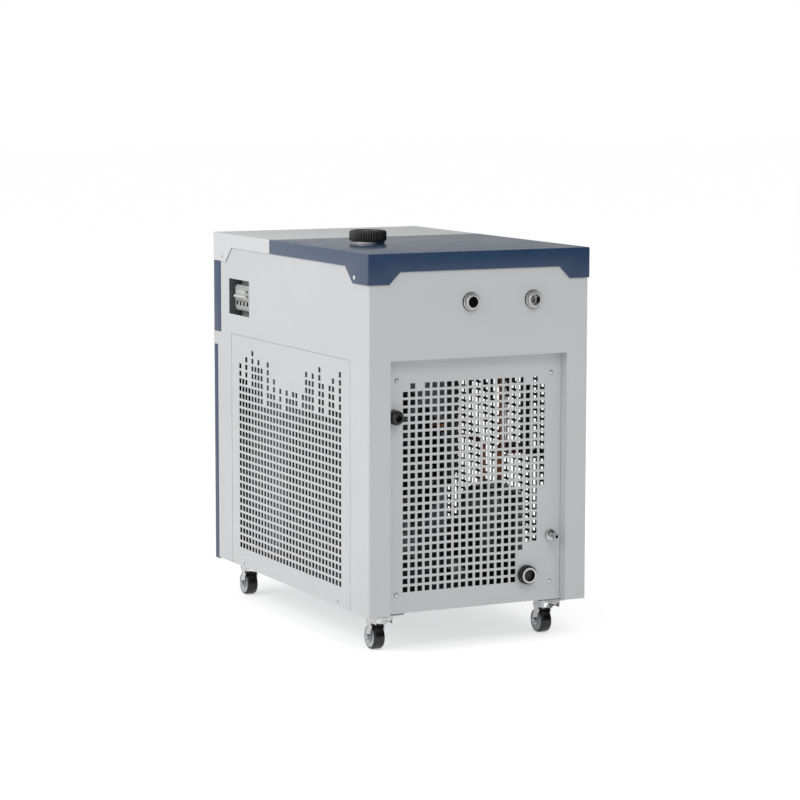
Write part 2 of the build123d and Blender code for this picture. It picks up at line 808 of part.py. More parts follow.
def socket_insert():
    """Insulating insert behind the socket's bore, with its contact holes."""
    z = skin_bottom + socket_height
    face = panel_y + socket_reach - socket_bore_depth
    body = rod((socket_x, face, z), (0, -1, 0), insert_radius, insert_depth)
    for k in range(7):
        angle = math.radians(k * 60)
        reach = 0.0 if k == 6 else 6.4
        hole = (socket_x + reach * math.cos(angle), face, z + reach * math.sin(angle))
        body -= rod(hole, (0, -1, 0), 1.5, 5.0)
    return body


def mains_gland():
    """Cable gland: thread, hexagon and a domed clamping nut with its empty bore."""
    z = skin_bottom + gland_height
    start = (gland_x, panel_y, z)
    body = hexagon(start, (0, 1, 0), 2 * gland_radius - 2.5, 6.0)
    dome = [(0, 5), (gland_radius, 5), (gland_radius, gland_reach - 9), (gland_radius - 2, gland_reach - 4),
            (gland_radius - 5.5, gland_reach), (0, gland_reach)]
    body += turned(dome, start, (0, 1, 0))
    body += rod(start, (0, -1, 0), gland_thread - 0.1, 12.0)
    return body - rod((gland_x, panel_y + gland_reach, z), (0, -1, 0), 6.5, gland_reach + 12.0)


# Cooling circuit

def fan_centre(back):
    """Point on the fan's axis, back millimetres in front of its plate."""
    return (0.0, rear_y - fan_plane - back, skin_bottom + fan_height)


motor_radius = 46.0
motor_depth = 26.0
fan_pin_radius = 6.0
hub_radius = 50.0
blade_tip = 180.0
blade_count = 5


def fan_shroud():
    """Bulkhead with the fan's ring and its four motor arms, and a hood back to the condenser."""
    x = shroud_half_width
    y = rear_y - fan_plane
    z0, z1 = floor_top, shelf_z
    hood = block(-x, x, y - shroud_depth, y, z0, z1)
    hood -= block(-x + sheet, x - sheet, y - shroud_depth, y - plate_sheet, z0 + sheet, z1 - sheet)
    centre = fan_centre(0)
    hood -= rod((centre[0], y + 1, centre[2]), (0, -1, 0), fan_opening, plate_sheet + 2)
    hood += tube((centre[0], y, centre[2]), (0, -1, 0), fan_opening + plate_sheet, fan_opening, 30.0)
    for k in range(4):
        arm = Rot(0, 0, 45 + 90 * k) * Pos((fan_opening + motor_radius + 3) / 2, 0, 2.5)
        arm = arm * Box(fan_opening - motor_radius - 1, 12.0, 5.0)
        hood += Plane(origin=centre, z_dir=(0, -1, 0)) * arm
    return hood + tube(centre, (0, -1, 0), motor_radius + 4, motor_radius + 0.1, 8.0)


def fan_motor():
    """Motor in the ring of the arms, with the bearing of the fan's pin."""
    body = rod(fan_centre(0), (0, -1, 0), motor_radius, motor_depth)
    return body - rod(fan_centre(1.0), (0, -1, 0), fan_pin_radius + running_gap, motor_depth)


def fan_blades():
    """Hub cup, pin and swept blades."""
    centre = fan_centre(motor_depth + 1.0)
    pin = fan_centre(2.0)
    hub = rod(centre, (0, -1, 0), hub_radius, 26.0)
    hub += rod(pin, (0, -1, 0), fan_pin_radius, motor_depth)
    blade = Face.make_rect(blade_tip - hub_radius + 6, 92.0)
    blade = extrude(Plane.XY * Pos((blade_tip + hub_radius) / 2 - 3, 0, 0) * blade, amount=2.4)
    blade = Rot(24, 0, 0) * blade
    ring = Pos(0, 0, -12) * Cylinder(blade_tip, 60, align=(Align.CENTER, Align.CENTER, Align.CENTER))
    seat = Plane(origin=fan_centre(motor_depth + 14.0), z_dir=(0, -1, 0))
    blade = blade & ring
    for k in range(blade_count):
        hub += seat * Rot(0, 0, k * 360 / blade_count) * blade
    return hub


def condenser_frame():
    """Channel round the condenser's core."""
    x = shroud_half_width
    y1 = rear_y - fan_plane - shroud_depth
    y0 = y1 - condenser_depth
    frame = block(-x, x, y0, y1, floor_top, shelf_z)
    return frame - block(-x + sheet, x - sheet, y0, y1, floor_top + sheet, shelf_z - sheet)


def condenser_core():
    """Two headers joined by flat tubes."""
    x = shroud_half_width - sheet
    y1 = rear_y - fan_plane - shroud_depth - 12
    y0 = y1 - condenser_depth + 24
    z0, z1 = floor_top + sheet, shelf_z - sheet
    header = 18.0
    core = block(-x, -x + header, y0, y1, z0, z1) + block(x - header, x, y0, y1, z0, z1)
    pitch = (z1 - z0) / condenser_tubes
    for k in range(condenser_tubes):
        z = z0 + (k + 0.5) * pitch
        core += block(-x + header, x - header, y0 + 4, y1 - 4, z - 1.2, z + 1.2)
    return core


compressor_x = -152.0
compressor_rear = 235.0
compressor_radius = 72.0
compressor_top = 207.0
grommet_height = 20.0
stub_offset = 20.0


def compressor_spot():
    return compressor_x, rear_y - compressor_rear


def compressor_feet():
    x, y = compressor_spot()
    return [(x + sx * 62, y + sy * 80) for sx in (-1, 1) for sy in (-1, 1)]


def compressor():
    """Welded can on its foot plate, with the cover of its terminals."""
    x, y = compressor_spot()
    base = floor_top + grommet_height
    plate = block(x - 74, x + 74, y - 92, y + 92, base, base + 3)
    plate -= block(x - 40, x + 40, y + 84, y + 92, base, base + 3)
    for fx, fy in compressor_feet():
        plate -= rod((fx, fy, base), (0, 0, 1), 6.0, 3.0)
    r = compressor_radius
    top = skin_bottom + compressor_top - base - 3
    seam = top * 0.52
    can = turned([(0, 0), (r - 22, 0), (r - 6, 10), (r - 2, 26), (r - 2, seam - 3), (r + 2, seam - 3),
                  (r + 2, seam + 3), (r - 2, seam + 3), (r - 2, top - 38), (r - 14, top - 14),
                  (r - 34, top - 3), (0, top)], (x, y, base + 3), (0, 0, 1))
    box = block(x + r - 12, x + r + 16, y - 26, y + 26, base + 62, base + 118)
    can = plate + can + box
    for reach in (-stub_offset, stub_offset):
        can += rod((x + reach, y, base + top - 12), (0, 0, 1), 7.0, stub_top() - base - top + 12)
    return can


def stub_top():
    """Height of the face where the gas pipe leaves the compressor."""
    return skin_bottom + compressor_top + 10.0


def compressor_grommets():
    """Rubber foot under each corner of the plate, with its sleeve through it."""
    made = []
    for x, y in compressor_feet():
        foot = rod((x, y, floor_top), (0, 0, 1), 12.0, grommet_height)
        made.append(foot + rod((x, y, floor_top), (0, 0, 1), 5.5, grommet_height + 8))
    return group(*made)


drier_spot = (40.0, 330.0, 180.0)   # x, distance from the rear skin, height of its middle
evaporator_x = -95.0
evaporator_rear = 200.0
evaporator_size = (76.0, 60.0, 150.0)
stub_spacing = 44.0
stub_inset = 24.0
stub_reach = 14.0
pump_x = 95.0
pump_rear = 150.0
pump_axis_height = 75.0


def drier_point(dz):
    x, back, z = drier_spot
    return (x, rear_y - back, skin_bottom + z + dz)


def filter_drier():
    """Spun copper drier between two pipe ends."""
    profile = [(0, -70), (5.2, -70), (5.2, -62), (15, -48), (15, 48), (5.2, 62), (5.2, 70), (0, 70)]
    return turned(profile, drier_point(0), (0, 0, 1))


def evaporator_spot():
    return evaporator_x, rear_y - evaporator_rear


def evaporator_stubs():
    """Refrigerant stubs: x, y of their ends, then the low and the high one's height."""
    x, y = evaporator_spot()
    _, d, h = evaporator_size
    z = shelf_z + sheet
    return x - stub_spacing / 2, y + d / 2 + stub_reach, z + stub_inset, z + h - stub_inset


def plate_evaporator():
    """Brazed plate pack with ribbed sides and four stubs."""
    x, y = evaporator_spot()
    w, d, h = evaporator_size
    z = shelf_z + sheet
    body = block(x - w / 2, x + w / 2, y - d / 2, y + d / 2, z, z + h)
    for k in range(9):
        cut = y - d / 2 + (k + 0.5) * d / 9
        for side in (-1, 1):
            body -= block(x + side * (w / 2 - 1.2), x + side * w / 2, cut - 1.6, cut + 1.6, z, z + h)
    for sx in (-1, 1):
        for level in (stub_inset, h - stub_inset):
            start = (x + sx * stub_spacing / 2, y + d / 2, z + level)
            body += rod(start, (0, 1, 0), 8.0, stub_reach)
    return body


def tank_corner():
    """Low corner of the tank, under the filler."""
    w, d, _ = tank_size
    return filler_x - w / 2, filler_y() - d / 2, shelf_z + sheet


def tank_top():
    return tank_corner()[2] + tank_size[2]


def tank_outlet():
    x, y, _ = tank_corner()
    return x + 150.0, y + 200.0


def tank_drain():
    x, y, _ = tank_corner()
    return x + 24.0, y + 245.0


def tank_inlet():
    """End of the stub on the tank's rear wall."""
    x, y, z = tank_corner()
    return x + 34.0, y + tank_size[1] + 10.0, z + stub_inset


def reservoir_tank():
    """Welded tank with the filler's hole in its roof, two outlets in its floor and an inlet stub."""
    x, y, z = tank_corner()
    w, d, h = tank_size
    tank = block(x, x + w, y, y + d, z, z + h)
    tank = fillet(tank.edges().filter_by(Axis.Z), 10.0)
    hollow = block(x + sheet, x + w - sheet, y + sheet, y + d - sheet, z + sheet, z + h - sheet)
    tank -= fillet(hollow.edges().filter_by(Axis.Z), 10.0 - sheet)
    tank -= rod((filler_x, filler_y(), z + h - 3), (0, 0, 1), neck_bore + neck_wall, 6)
    for (ox, oy), radius in ((tank_outlet(), hose_radius), (tank_drain(), drain_hose_radius)):
        tank -= rod((ox, oy, z - 1), (0, 0, 1), radius - 3, sheet + 2)
    return tank + tube(tank_inlet(), (0, -1, 0), hose_radius, hose_radius - 3, 10.0)


def pump_spot():
    return pump_x, rear_y - pump_rear, floor_top + pump_axis_height


def pump():
    """Close-coupled pump: volute, motor with fins, and foot."""
    x, y, z = pump_spot()
    body = rod((x, y, z), (0, -1, 0), 56.0, 44.0)
    body += rod((x, y - 44, z), (0, -1, 0), 48.0, 140.0)
    for k in range(16):
        fin = Rot(0, 0, k * 22.5) * Pos(50, 0, 75) * Box(8, 3, 110)
        body += Plane(origin=(x, y - 44, z), z_dir=(0, -1, 0)) * fin
    body += rod((x, y, z), (0, 1, 0), 16.0, 24.0)
    body += block(x - 34, x + 34, y - 160, y - 70, z - 70, floor_top)
    body += block(x - 30, x + 30, y - 156, y - 74, floor_top, z - 40)
    body = body & block(-inner_x, inner_x, front_y, rear_y, floor_top, shelf_z)
    return body + rod((x - 30, y - 22, z + 30), (0, 0, 1), 14.0, 46.0)


def water_hoses():
    """Rubber hoses: return port to evaporator to tank, tank to pump to outlet, tank to drain."""
    z = skin_bottom + port_height
    inside = rear_y - port_inside
    x, y, zp = pump_spot()
    outlet = pipe([(outlet_x, inside, z), (outlet_x, inside - 52, z), (outlet_x, inside - 52, 330),
                   (x - 30, y - 22, 300), (x - 30, y - 22, zp + 76)], hose_radius, 34)
    ex, ey, z_low, z_high = evaporator_stubs()
    ex += stub_spacing
    back = pipe([(return_x, inside, z), (return_x, inside - 42, z), (ex, inside - 60, z_high),
                 (ex, ey, z_high)], hose_radius, 20)
    ix, iy, iz = tank_inlet()
    filling = pipe([(ex, ey, z_low), (ex, iy + 26, z_low), (ix, iy + 26, iz), (ix, iy, iz)],
                   hose_radius, 20)
    tx, ty = tank_outlet()
    suction = pipe([(tx, ty, shelf_z + sheet), (tx, ty, 330), (x, y + 84, 240), (x, y + 84, zp),
                    (x, y + 24, zp)], hose_radius, 26)
    dx, dy = tank_drain()
    back_y = inside - 60
    tail = skin_bottom + drain_height
    drain = pipe([(dx, dy, shelf_z + sheet), (dx, dy, shelf_z - 40), (dx, back_y, shelf_z - 40),
                  (-150, back_y, shelf_z - 40), (-150, back_y, 366), (-205, back_y, 366),
                  (-205, back_y, tail), (drain_x, panel_y - 50, tail), (drain_x, panel_y - 22, tail)],
                 drain_hose_radius, 20)
    return group(outlet, back, filling, suction, drain)


def refrigerant_pipes():
    """Copper lines: gas to the condenser, liquid to the drier and evaporator, gas back to the can."""
    x, y = compressor_spot()
    fan_y = rear_y - fan_plane
    condenser_y = fan_y - shroud_depth - condenser_depth / 2
    high = skin_bottom + compressor_top + 90
    dx, dy, dz_high = drier_point(70)
    dz_low = drier_point(-70)[2]
    beside = shroud_half_width + 26
    gas = pipe([(x + stub_offset, y, stub_top()), (x + stub_offset, y, high),
                (x + stub_offset, fan_y + 14, high), (-beside, fan_y + 14, high),
                (-beside, condenser_y, high), (-shroud_half_width, condenser_y, high)], gas_pipe, 14)
    low = floor_top + 40
    liquid = pipe([(shroud_half_width, condenser_y, low), (beside, condenser_y, low),
                   (beside, fan_y + 30, low), (dx, fan_y + 30, low), (dx, dy, low), (dx, dy, dz_low)],
                  gas_pipe, 14)
    ex, ey, z_low, z_high = evaporator_stubs()
    under = shelf_z - 30
    expansion = pipe([(dx, dy, dz_high), (dx, dy, under), (ex, dy, under),
                      (ex, ey + liquid_loop, under), (ex, ey + liquid_loop, z_low), (ex, ey, z_low)],
                     liquid_pipe, 8)
    level = 370
    suction = pipe([(ex, ey, z_high), (ex, ey + suction_loop, z_high), (ex, ey + suction_loop, level),
                    (x - stub_offset, ey + suction_loop, level), (x - stub_offset, y, level),
                    (x - stub_offset, y, stub_top())], suction_pipe, 18)
    return group(gas, liquid, expansion, suction)


def control_box():
    """Electrics enclosure on the shelf, behind the control bezel."""
    y0 = edge_y_high + 6
    z = shelf_z + sheet
    box = block(-190, 150, y0, y0 + 130, z, z + 110)
    box -= block(-190 + sheet, 150 - sheet, y0 + sheet, y0 + 130 - sheet, z + sheet, z + 110)
    lid = block(-192, 152, y0 - 2, y0 + 132, z + 110, z + 110 + sheet)
    return box + lid


# Casters

def caster_places():
    xs = skin_x - caster_inset_x
    back = rear_y - caster_inset_y
    ahead = edge_y + caster_inset_y - lid_lap
    return [(xs, back), (-xs, back), (xs, ahead), (-xs, ahead)]


plate_hole_radius = 3.2
plate_hole_spacing = 44.0


def plate_holes(x, y):
    half = plate_hole_spacing / 2
    return [(x + sx * half, y + sy * half) for sx in (-1, 1) for sy in (-1, 1)]


def fork_top():
    return caster_height - plate_thickness - 2.0 - race_gap


def caster_plates():
    """Mounting plates with their ball race and the riveted kingpin."""
    made = []
    for x, y in caster_places():
        plate = Pos(x, y, caster_height - plate_thickness / 2) * Box(plate_size, plate_size, plate_thickness)
        plate = fillet(plate.edges().filter_by(Axis.Z), 6.0)
        for hx, hy in plate_holes(x, y):
            plate -= rod((hx, hy, caster_height), (0, 0, -1), plate_hole_radius, plate_thickness)
        under = caster_height - plate_thickness
        plate += rod((x, y, under), (0, 0, -1), crown_radius - 4, 2.0)
        head = 3.0 + race_gap + 0.4
        plate += rod((x, y, under), (0, 0, -1), kingpin_radius, 2.0 + head)
        plate += rod((x, y, under - 2.0 - head), (0, 0, -1), 9.0, 2.0)
        made.append(plate)
    return group(*made)


def caster_fork(x, y):
    """Pressed fork: a round crown, shoulders that close in, and two tapering legs."""
    top = fork_top()
    crown = 3.0
    leg = 2.0
    inner = wheel_width / 2 + 0.8
    outer = inner + leg
    half = crown_radius - 3.0
    z_axle = wheel_radius
    low = z_axle - 9.5
    section = [(outer, low), (outer, top - 22), (half, top - 12), (half, top), (-half, top),
               (-half, top - 12), (-outer, top - 22), (-outer, low), (-inner, low), (-inner, top - 21.5),
               (-half + leg, top - 11.5), (-half + leg, top - crown), (half - leg, top - crown),
               (half - leg, top - 11.5), (inner, top - 21.5), (inner, low)]
    body = prism(section, Plane.XZ.offset(-60), 120)
    wheel_y = -caster_trail
    side = make_hull((Pos(wheel_y, z_axle) * Circle(9.0)).edges()
                     + (Pos(-1, top - 8) * Rectangle(40, 16)).edges())
    body = body & extrude(Plane.YZ.offset(-30) * side, amount=60)
    body += rod((0, 0, top - crown), (0, 0, 1), crown_radius, crown)
    body -= rod((0, 0, top - crown), (0, 0, 1), kingpin_radius + running_gap, crown)
    body -= rod((-40, wheel_y, z_axle), (1, 0, 0), axle_radius + 0.1, 80)
    return Pos(x, y, 0) * body


def caster_axle(x, y):
    """Axle bolt with its hexagon head and nut."""
    reach = wheel_width / 2 + 0.8 + 2.0
    seat = (x - reach, y - caster_trail, wheel_radius)
    body = rod((x - reach - 4, seat[1], seat[2]), (1, 0, 0), axle_radius, 2 * reach + 8)
    body += hexagon(seat, (-1, 0, 0), 10.0, 4.0)
    return body + hexagon((x + reach, seat[1], seat[2]), (1, 0, 0), 10.0, 4.0)


def caster_hub(x, y):
    """Wheel centre with a bore on the axle, a boss and a dished disc on each side."""
    half = wheel_width / 2
    rim = wheel_radius - 5.0
    profile = [(axle_radius + running_gap, -half), (7.5, -half), (8.5, -half + 2.2), (rim - 3, -half + 1.2),
               (rim, -half + 0.4), (rim, half - 0.4), (rim - 3, half - 1.2), (8.5, half - 2.2), (7.5, half),
               (axle_radius + running_gap, half)]
    return turned(profile, (x, y - caster_trail, wheel_radius), (1, 0, 0))


def caster_tyre(x, y):
    """Tyre with rounded shoulders."""
    half = wheel_width / 2 - 0.4
    rim = wheel_radius - 5.0
    r = wheel_radius
    profile = [(rim, -half), (r - 2.5, -half), (r - 0.8, -half + 1.2), (r, -half + 3.2), (r, half - 3.2),
               (r - 0.8, half - 1.2), (r - 2.5, half), (rim, half)]
    return turned(profile, (x, y - caster_trail, wheel_radius), (1, 0, 0))


def build():
    """All nodes by name."""
    nodes = {
        "base_pan": base_pan(),
        "cabinet_wrap": cabinet_wrap(),
        "equipment_shelf": equipment_shelf(),
        "front_panel": front_panel(),
        "top_cover_rear": top_cover_rear(),
        "top_cover_front": top_cover_front(),
        "control_bezel": control_bezel(),
        "display_window": display_window(),
        "intake_frame": intake_frame(),
        "intake_louvres": intake_louvres(),
        "side_grille_right": side_grille(1),
        "side_grille_left": side_grille(-1),
        "rear_grille": rear_grille(),
        "breaker_tray": breaker_tray(),
        "breaker_body": breaker_body(),
        "breaker_toggle": breaker_toggle(),
        "test_button": test_button(),
        "filler_neck": filler_neck(),
        "filler_seal": filler_seal(),
        "filler_cap": filler_cap(),
        "outlet_port": port(outlet_x, False),
        "return_port": port(return_x, True),
        "port_locknuts": port_locknuts(),
        "drain_nipple": drain_nipple(),
        "service_socket": service_socket(),
        "socket_insert": socket_insert(),
        "mains_gland": mains_gland(),
        "fasteners": fasteners(),
        "condenser_frame": condenser_frame(),
        "condenser_core": condenser_core(),
        "fan_shroud": fan_shroud(),
        "fan_motor": fan_motor(),
        "fan_blades": fan_blades(),
        "compressor": compressor(),
        "compressor_grommets": compressor_grommets(),
        "refrigerant_pipes": refrigerant_pipes(),
        "filter_drier": filter_drier(),
        "reservoir_tank": reservoir_tank(),
        "plate_evaporator": plate_evaporator(),
        "pump": pump(),
        "water_hoses": water_hoses(),
        "control_box": control_box(),
        "caster_plates": caster_plates(),
    }
    for number, (x, y) in enumerate(caster_places(), start=1):
        nodes[f"caster_fork_{number}"] = caster_fork(x, y)
        nodes[f"caster_axle_{number}"] = caster_axle(x, y)
        nodes[f"caster_hub_{number}"] = caster_hub(x, y)
        nodes[f"caster_tyre_{number}"] = caster_tyre(x, y)
    return nodes


if __name__ == "__main__":
    os.makedirs("parts", exist_ok=True)
    for name, shape in build().items():
        export_step(shape, f"parts/{name}.step")
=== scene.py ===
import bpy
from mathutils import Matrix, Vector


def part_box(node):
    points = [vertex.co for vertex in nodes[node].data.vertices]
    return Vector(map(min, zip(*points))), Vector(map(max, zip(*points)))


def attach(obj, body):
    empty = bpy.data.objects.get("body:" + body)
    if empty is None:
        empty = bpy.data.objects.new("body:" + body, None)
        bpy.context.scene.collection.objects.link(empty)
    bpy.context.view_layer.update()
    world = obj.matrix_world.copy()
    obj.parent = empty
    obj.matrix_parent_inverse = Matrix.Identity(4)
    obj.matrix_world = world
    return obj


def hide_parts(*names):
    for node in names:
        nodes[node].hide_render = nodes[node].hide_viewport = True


bl_info = {
    "name": "Recirculating chiller",
    "version": (1, 0, 0),
    "blender": (4, 5, 0),
    "location": "View3D > Sidebar > Chiller",
    "description": "Panels, covers, fittings and finishes of a recirculating chiller",
    "category": "Object",
}

import math

import bmesh
import bpy
from bpy.props import FloatProperty, FloatVectorProperty, IntProperty, PointerProperty
from bpy.types import Operator, Panel, PropertyGroup
from mathutils import Matrix, Vector

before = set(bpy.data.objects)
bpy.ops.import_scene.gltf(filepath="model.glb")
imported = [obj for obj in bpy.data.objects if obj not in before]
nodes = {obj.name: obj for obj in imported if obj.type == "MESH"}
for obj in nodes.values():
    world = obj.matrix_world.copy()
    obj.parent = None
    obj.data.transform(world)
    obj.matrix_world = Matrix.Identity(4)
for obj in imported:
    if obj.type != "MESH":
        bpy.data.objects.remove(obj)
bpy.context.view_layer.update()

MM = 0.001
UP = Vector((0, 0, 1))
REAR = Vector((0, 1, 0))
RIGHT = Vector((1, 0, 0))
MIRROR_LEAN = (0.625, -0.194, 0.0)   # how reflections brighten with direction
MIRROR_LEVEL = 0.55                  # their level straight up
FLOOR_GLOW = 0.56                    # what lifts the shaded floor to white for the camera
FLOOR_HALF = 30.0
FACING = 0.9                         # share of a normal that counts as facing
WALL_FROM = (0.23, 0.2, 0.3)         # walls and top, from the cabinet's middle
TRAIL = 24 * MM                      # wheel's axis behind the swivel


def colour(name, red, green, blue, text):
    """Colour property from screen values of 0 to 255."""
    linear = []
    for value in (red, green, blue):
        share = value / 255
        linear.append(share / 12.92 if share <= 0.04045 else ((share + 0.055) / 1.055) ** 2.4)
    return FloatVectorProperty(name=name, description=text, subtype="COLOR", size=3, min=0.0,
                               max=1.0, default=linear)


def length(name, millimetres, text):
    """Length property, written in millimetres."""
    return FloatProperty(name=name, description=text, default=millimetres * MM, min=0.0,
                         unit="LENGTH")


# Sizes and colours that a user may change

class ChillerColours(PropertyGroup):
    wall_white: colour("Wall white", 214, 215, 216, "Powder coat of the walls and grilles")
    cover_white: colour("Cover white", 222, 223, 224, "Powder coat of the front cover")
    cover_blue: colour("Cover blue", 38, 66, 100, "Gloss paint of the rear cover")
    trim_blue: colour("Trim blue", 38, 66, 100, "Moulded bezel and intake frame")
    louvre_grey: colour("Louvre grey", 150, 153, 156, "Moulded louvres")
    zinc: colour("Zinc", 176, 180, 184, "Plated sheet and the casters' axles")
    chrome: colour("Chrome", 205, 205, 206, "Plates and forks of the casters, panel screws")
    steel: colour("Steel", 186, 186, 186, "Turned fittings")
    black: colour("Black", 22, 22, 23, "Cap, gland, socket, fan and test button")
    rubber: colour("Rubber", 20, 20, 21, "Hoses and seals")
    tray: colour("Tray", 104, 106, 108, "Tray behind the breaker's window")
    tyre: colour("Tyre", 7, 7, 8, "Tyres of the casters")
    hub: colour("Hub", 196, 197, 198, "Wheel centres")
    copper: colour("Copper", 184, 115, 78, "Refrigerant pipes")
    breaker: colour("Breaker", 184, 186, 184, "Case of the breaker")
    tank: colour("Stainless", 178, 180, 181, "Tank and evaporator")


class ChillerPanels(PropertyGroup):
    pitch: length("Pitch", 16, "Distance between the holes' centres")
    hole: length("Hole", 11, "Side of a square hole")
    low_row: length("Low row", 46.5, "Lowest row above the walls' bottom edge")
    side_columns: IntProperty(name="Side columns", description="Columns of a side grille",
                              default=32, min=1)
    side_rows: IntProperty(name="Side rows", description="Rows of the tallest side column",
                           default=27, min=1)
    rear_columns: IntProperty(name="Rear columns", description="Columns of the rear grille",
                              default=20, min=1)
    rear_rows: IntProperty(name="Rear rows", description="Rows of the tallest rear column",
                           default=26, min=1)


class ChillerTrim(PropertyGroup):
    sheet: length("Sheet", 1.5, "Thickness of the covers")
    fold: length("Fold", 2.2, "Outside radius of a folded edge")
    cap_ribs: IntProperty(name="Cap ribs", description="Grip ribs of the filler cap", default=44,
                          min=3)
    fin_pitch: length("Fin pitch", 3.2, "Distance between the condenser's fins")


class ChillerStage(PropertyGroup):
    place: FloatVectorProperty(name="Camera", description="Where the camera stands", size=3,
                               subtype="TRANSLATION", unit="LENGTH",
                               default=(2.5268, 5.13095, 1.1577))
    azimuth: FloatProperty(name="Azimuth", description="Turn of the view about the vertical",
                           subtype="ANGLE", default=math.radians(153.612))
    elevation: FloatProperty(name="Elevation", description="Height of the view over the horizon",
                             subtype="ANGLE", default=math.radians(7.044))
    roll: FloatProperty(name="Roll", description="Turn of the picture", subtype="ANGLE",
                        default=math.radians(0.085))
    lens: FloatProperty(name="Lens", description="Focal length on a 36 mm sensor, in mm",
                        default=124.46, min=1.0)
    sky: FloatProperty(name="Sky", description="Light from all round", default=0.54, min=0.0)
    key: FloatProperty(name="Key", description="Power of the lamp on the breaker's side",
                       default=52.0, min=0.0, unit="POWER")
    fill: FloatProperty(name="Fill", description="Power of the lamp behind the rear face",
                        default=27.0, min=0.0, unit="POWER")


# Shaders

class Finish:
    """A material with its shader and the few nodes that every finish here uses."""

    def __init__(self, name):
        self.material = bpy.data.materials.new(name)
        self.material.use_nodes = True
        self.tree = self.material.node_tree
        self.shader = self.tree.nodes["Principled BSDF"]
        self.place = self.tree.nodes.new("ShaderNodeTexCoord").outputs["Object"]

    def node(self, kind, **settings):
        made = self.tree.nodes.new(kind)
        for key, value in settings.items():
            setattr(made, key, value)
        return made

    def link(self, output, socket):
        self.tree.links.new(output, socket)

    def set(self, **values):
        for key, value in values.items():
            self.shader.inputs[key.replace("_", " ")].default_value = value
        return self

    def stretched(self, scale):
        """The object's coordinates, scaled along each axis."""
        mapping = self.node("ShaderNodeMapping")
        mapping.inputs["Scale"].default_value = scale
        self.link(self.place, mapping.inputs["Vector"])
        return mapping.outputs["Vector"]

    def noise(self, scale, detail=2.0, vector=None):
        texture = self.node("ShaderNodeTexNoise")
        texture.inputs["Scale"].default_value = scale
        texture.inputs["Detail"].default_value = detail
        self.link(vector or self.place, texture.inputs["Vector"])
        return texture.outputs["Fac"]

    def cells(self, scale):
        texture = self.node("ShaderNodeTexVoronoi")
        texture.inputs["Scale"].default_value = scale
        self.link(self.place, texture.inputs["Vector"])
        return texture.outputs["Color"]

    def tint(self, value, first, second, low=0.35, high=0.65):
        """Base colour between two colours by a value."""
        ramp = self.node("ShaderNodeValToRGB")
        ramp.color_ramp.elements[0].position = low
        ramp.color_ramp.elements[1].position = high
        ramp.color_ramp.elements[0].color = (*first, 1)
        ramp.color_ramp.elements[1].color = (*second, 1)
        self.link(value, ramp.inputs["Fac"])
        self.link(ramp.outputs["Color"], self.shader.inputs["Base Color"])
        return self

    def roughness(self, value, low, high):
        span = self.node("ShaderNodeMapRange")
        span.inputs["From Min"].default_value = 0.3
        span.inputs["From Max"].default_value = 0.7
        span.inputs["To Min"].default_value = low
        span.inputs["To Max"].default_value = high
        self.link(value, span.inputs["Value"])
        self.link(span.outputs["Result"], self.shader.inputs["Roughness"])
        return self

    def relief(self, value, strength, depth):
        bump = self.node("ShaderNodeBump")
        bump.inputs["Strength"].default_value = strength
        bump.inputs["Distance"].default_value = depth
        self.link(value, bump.inputs["Height"])
        self.link(bump.outputs["Normal"], self.shader.inputs["Normal"])
        return self


def shade(rgb, factor):
    return tuple(min(1.0, channel * factor) for channel in rgb)


def powder_coat(name, rgb, low, high, coat):
    """Sprayed and baked paint: a faint orange peel and a clear gloss."""
    paint = Finish(name).set(Coat_Weight=coat, Coat_Roughness=0.12)
    paint.tint(paint.noise(3.5, 3.0), shade(rgb, 0.975), shade(rgb, 1.015))
    paint.roughness(paint.noise(22.0, 3.0), low, high)
    return paint.relief(paint.noise(420.0, 2.0), 0.08, 0.00025).material


def moulded(name, rgb, low, high, grain=900.0, depth=0.12):
    """Moulded plastic with a spark-eroded grain."""
    plastic = Finish(name)
    plastic.tint(plastic.noise(9.0, 3.0), shade(rgb, 0.92), shade(rgb, 1.08))
    plastic.roughness(plastic.noise(60.0, 3.0), low, high)
    return plastic.relief(plastic.noise(grain, 3.0), depth, 0.0003).material


def zinc_plate(name, rgb, low=0.3, high=0.48):
    """Plated sheet with its faint spangle and rolling marks."""
    zinc = Finish(name).set(Metallic=1.0)
    zinc.tint(zinc.cells(95.0), shade(rgb, 0.86), shade(rgb, 1.04), 0.1, 0.9)
    zinc.roughness(zinc.noise(70.0, 4.0), low, high)
    marks = zinc.noise(260.0, 3.0, zinc.stretched((1, 0.12, 1)))
    return zinc.relief(marks, 0.06, 0.0002).material


def turned_steel(name, rgb, along):
    """Bright steel with tool marks round the axis that it was turned about."""
    steel = Finish(name).set(Metallic=1.0)
    steel.tint(steel.noise(40.0, 3.0), shade(rgb, 0.9), shade(rgb, 1.06))
    scale = tuple(60.0 if axis else 1.0 for axis in along)
    marks = steel.noise(40.0, 2.0, steel.stretched(scale))
    steel.roughness(marks, 0.14, 0.3)
    return steel.relief(marks, 0.1, 0.00015).material


def bright_plate(name, rgb):
    """Bright plating of the pressed forks and of the screws."""
    plate = Finish(name).set(Metallic=1.0)
    plate.tint(plate.noise(35.0, 4.0), shade(rgb, 0.9), shade(rgb, 1.12))
    plate.roughness(plate.noise(120.0, 4.0), 0.12, 0.26)
    return plate.relief(plate.noise(160.0, 3.0), 0.05, 0.0003).material


def rubber(name, rgb, low, high, bloom):
    """Rubber with a pale bloom and a fine skin."""
    skin = Finish(name)
    skin.tint(skin.noise(28.0, 5.0), rgb, shade(rgb, bloom))
    skin.roughness(skin.noise(50.0, 4.0), low, high)
    return skin.relief(skin.noise(700.0, 3.0), 0.15, 0.0003).material


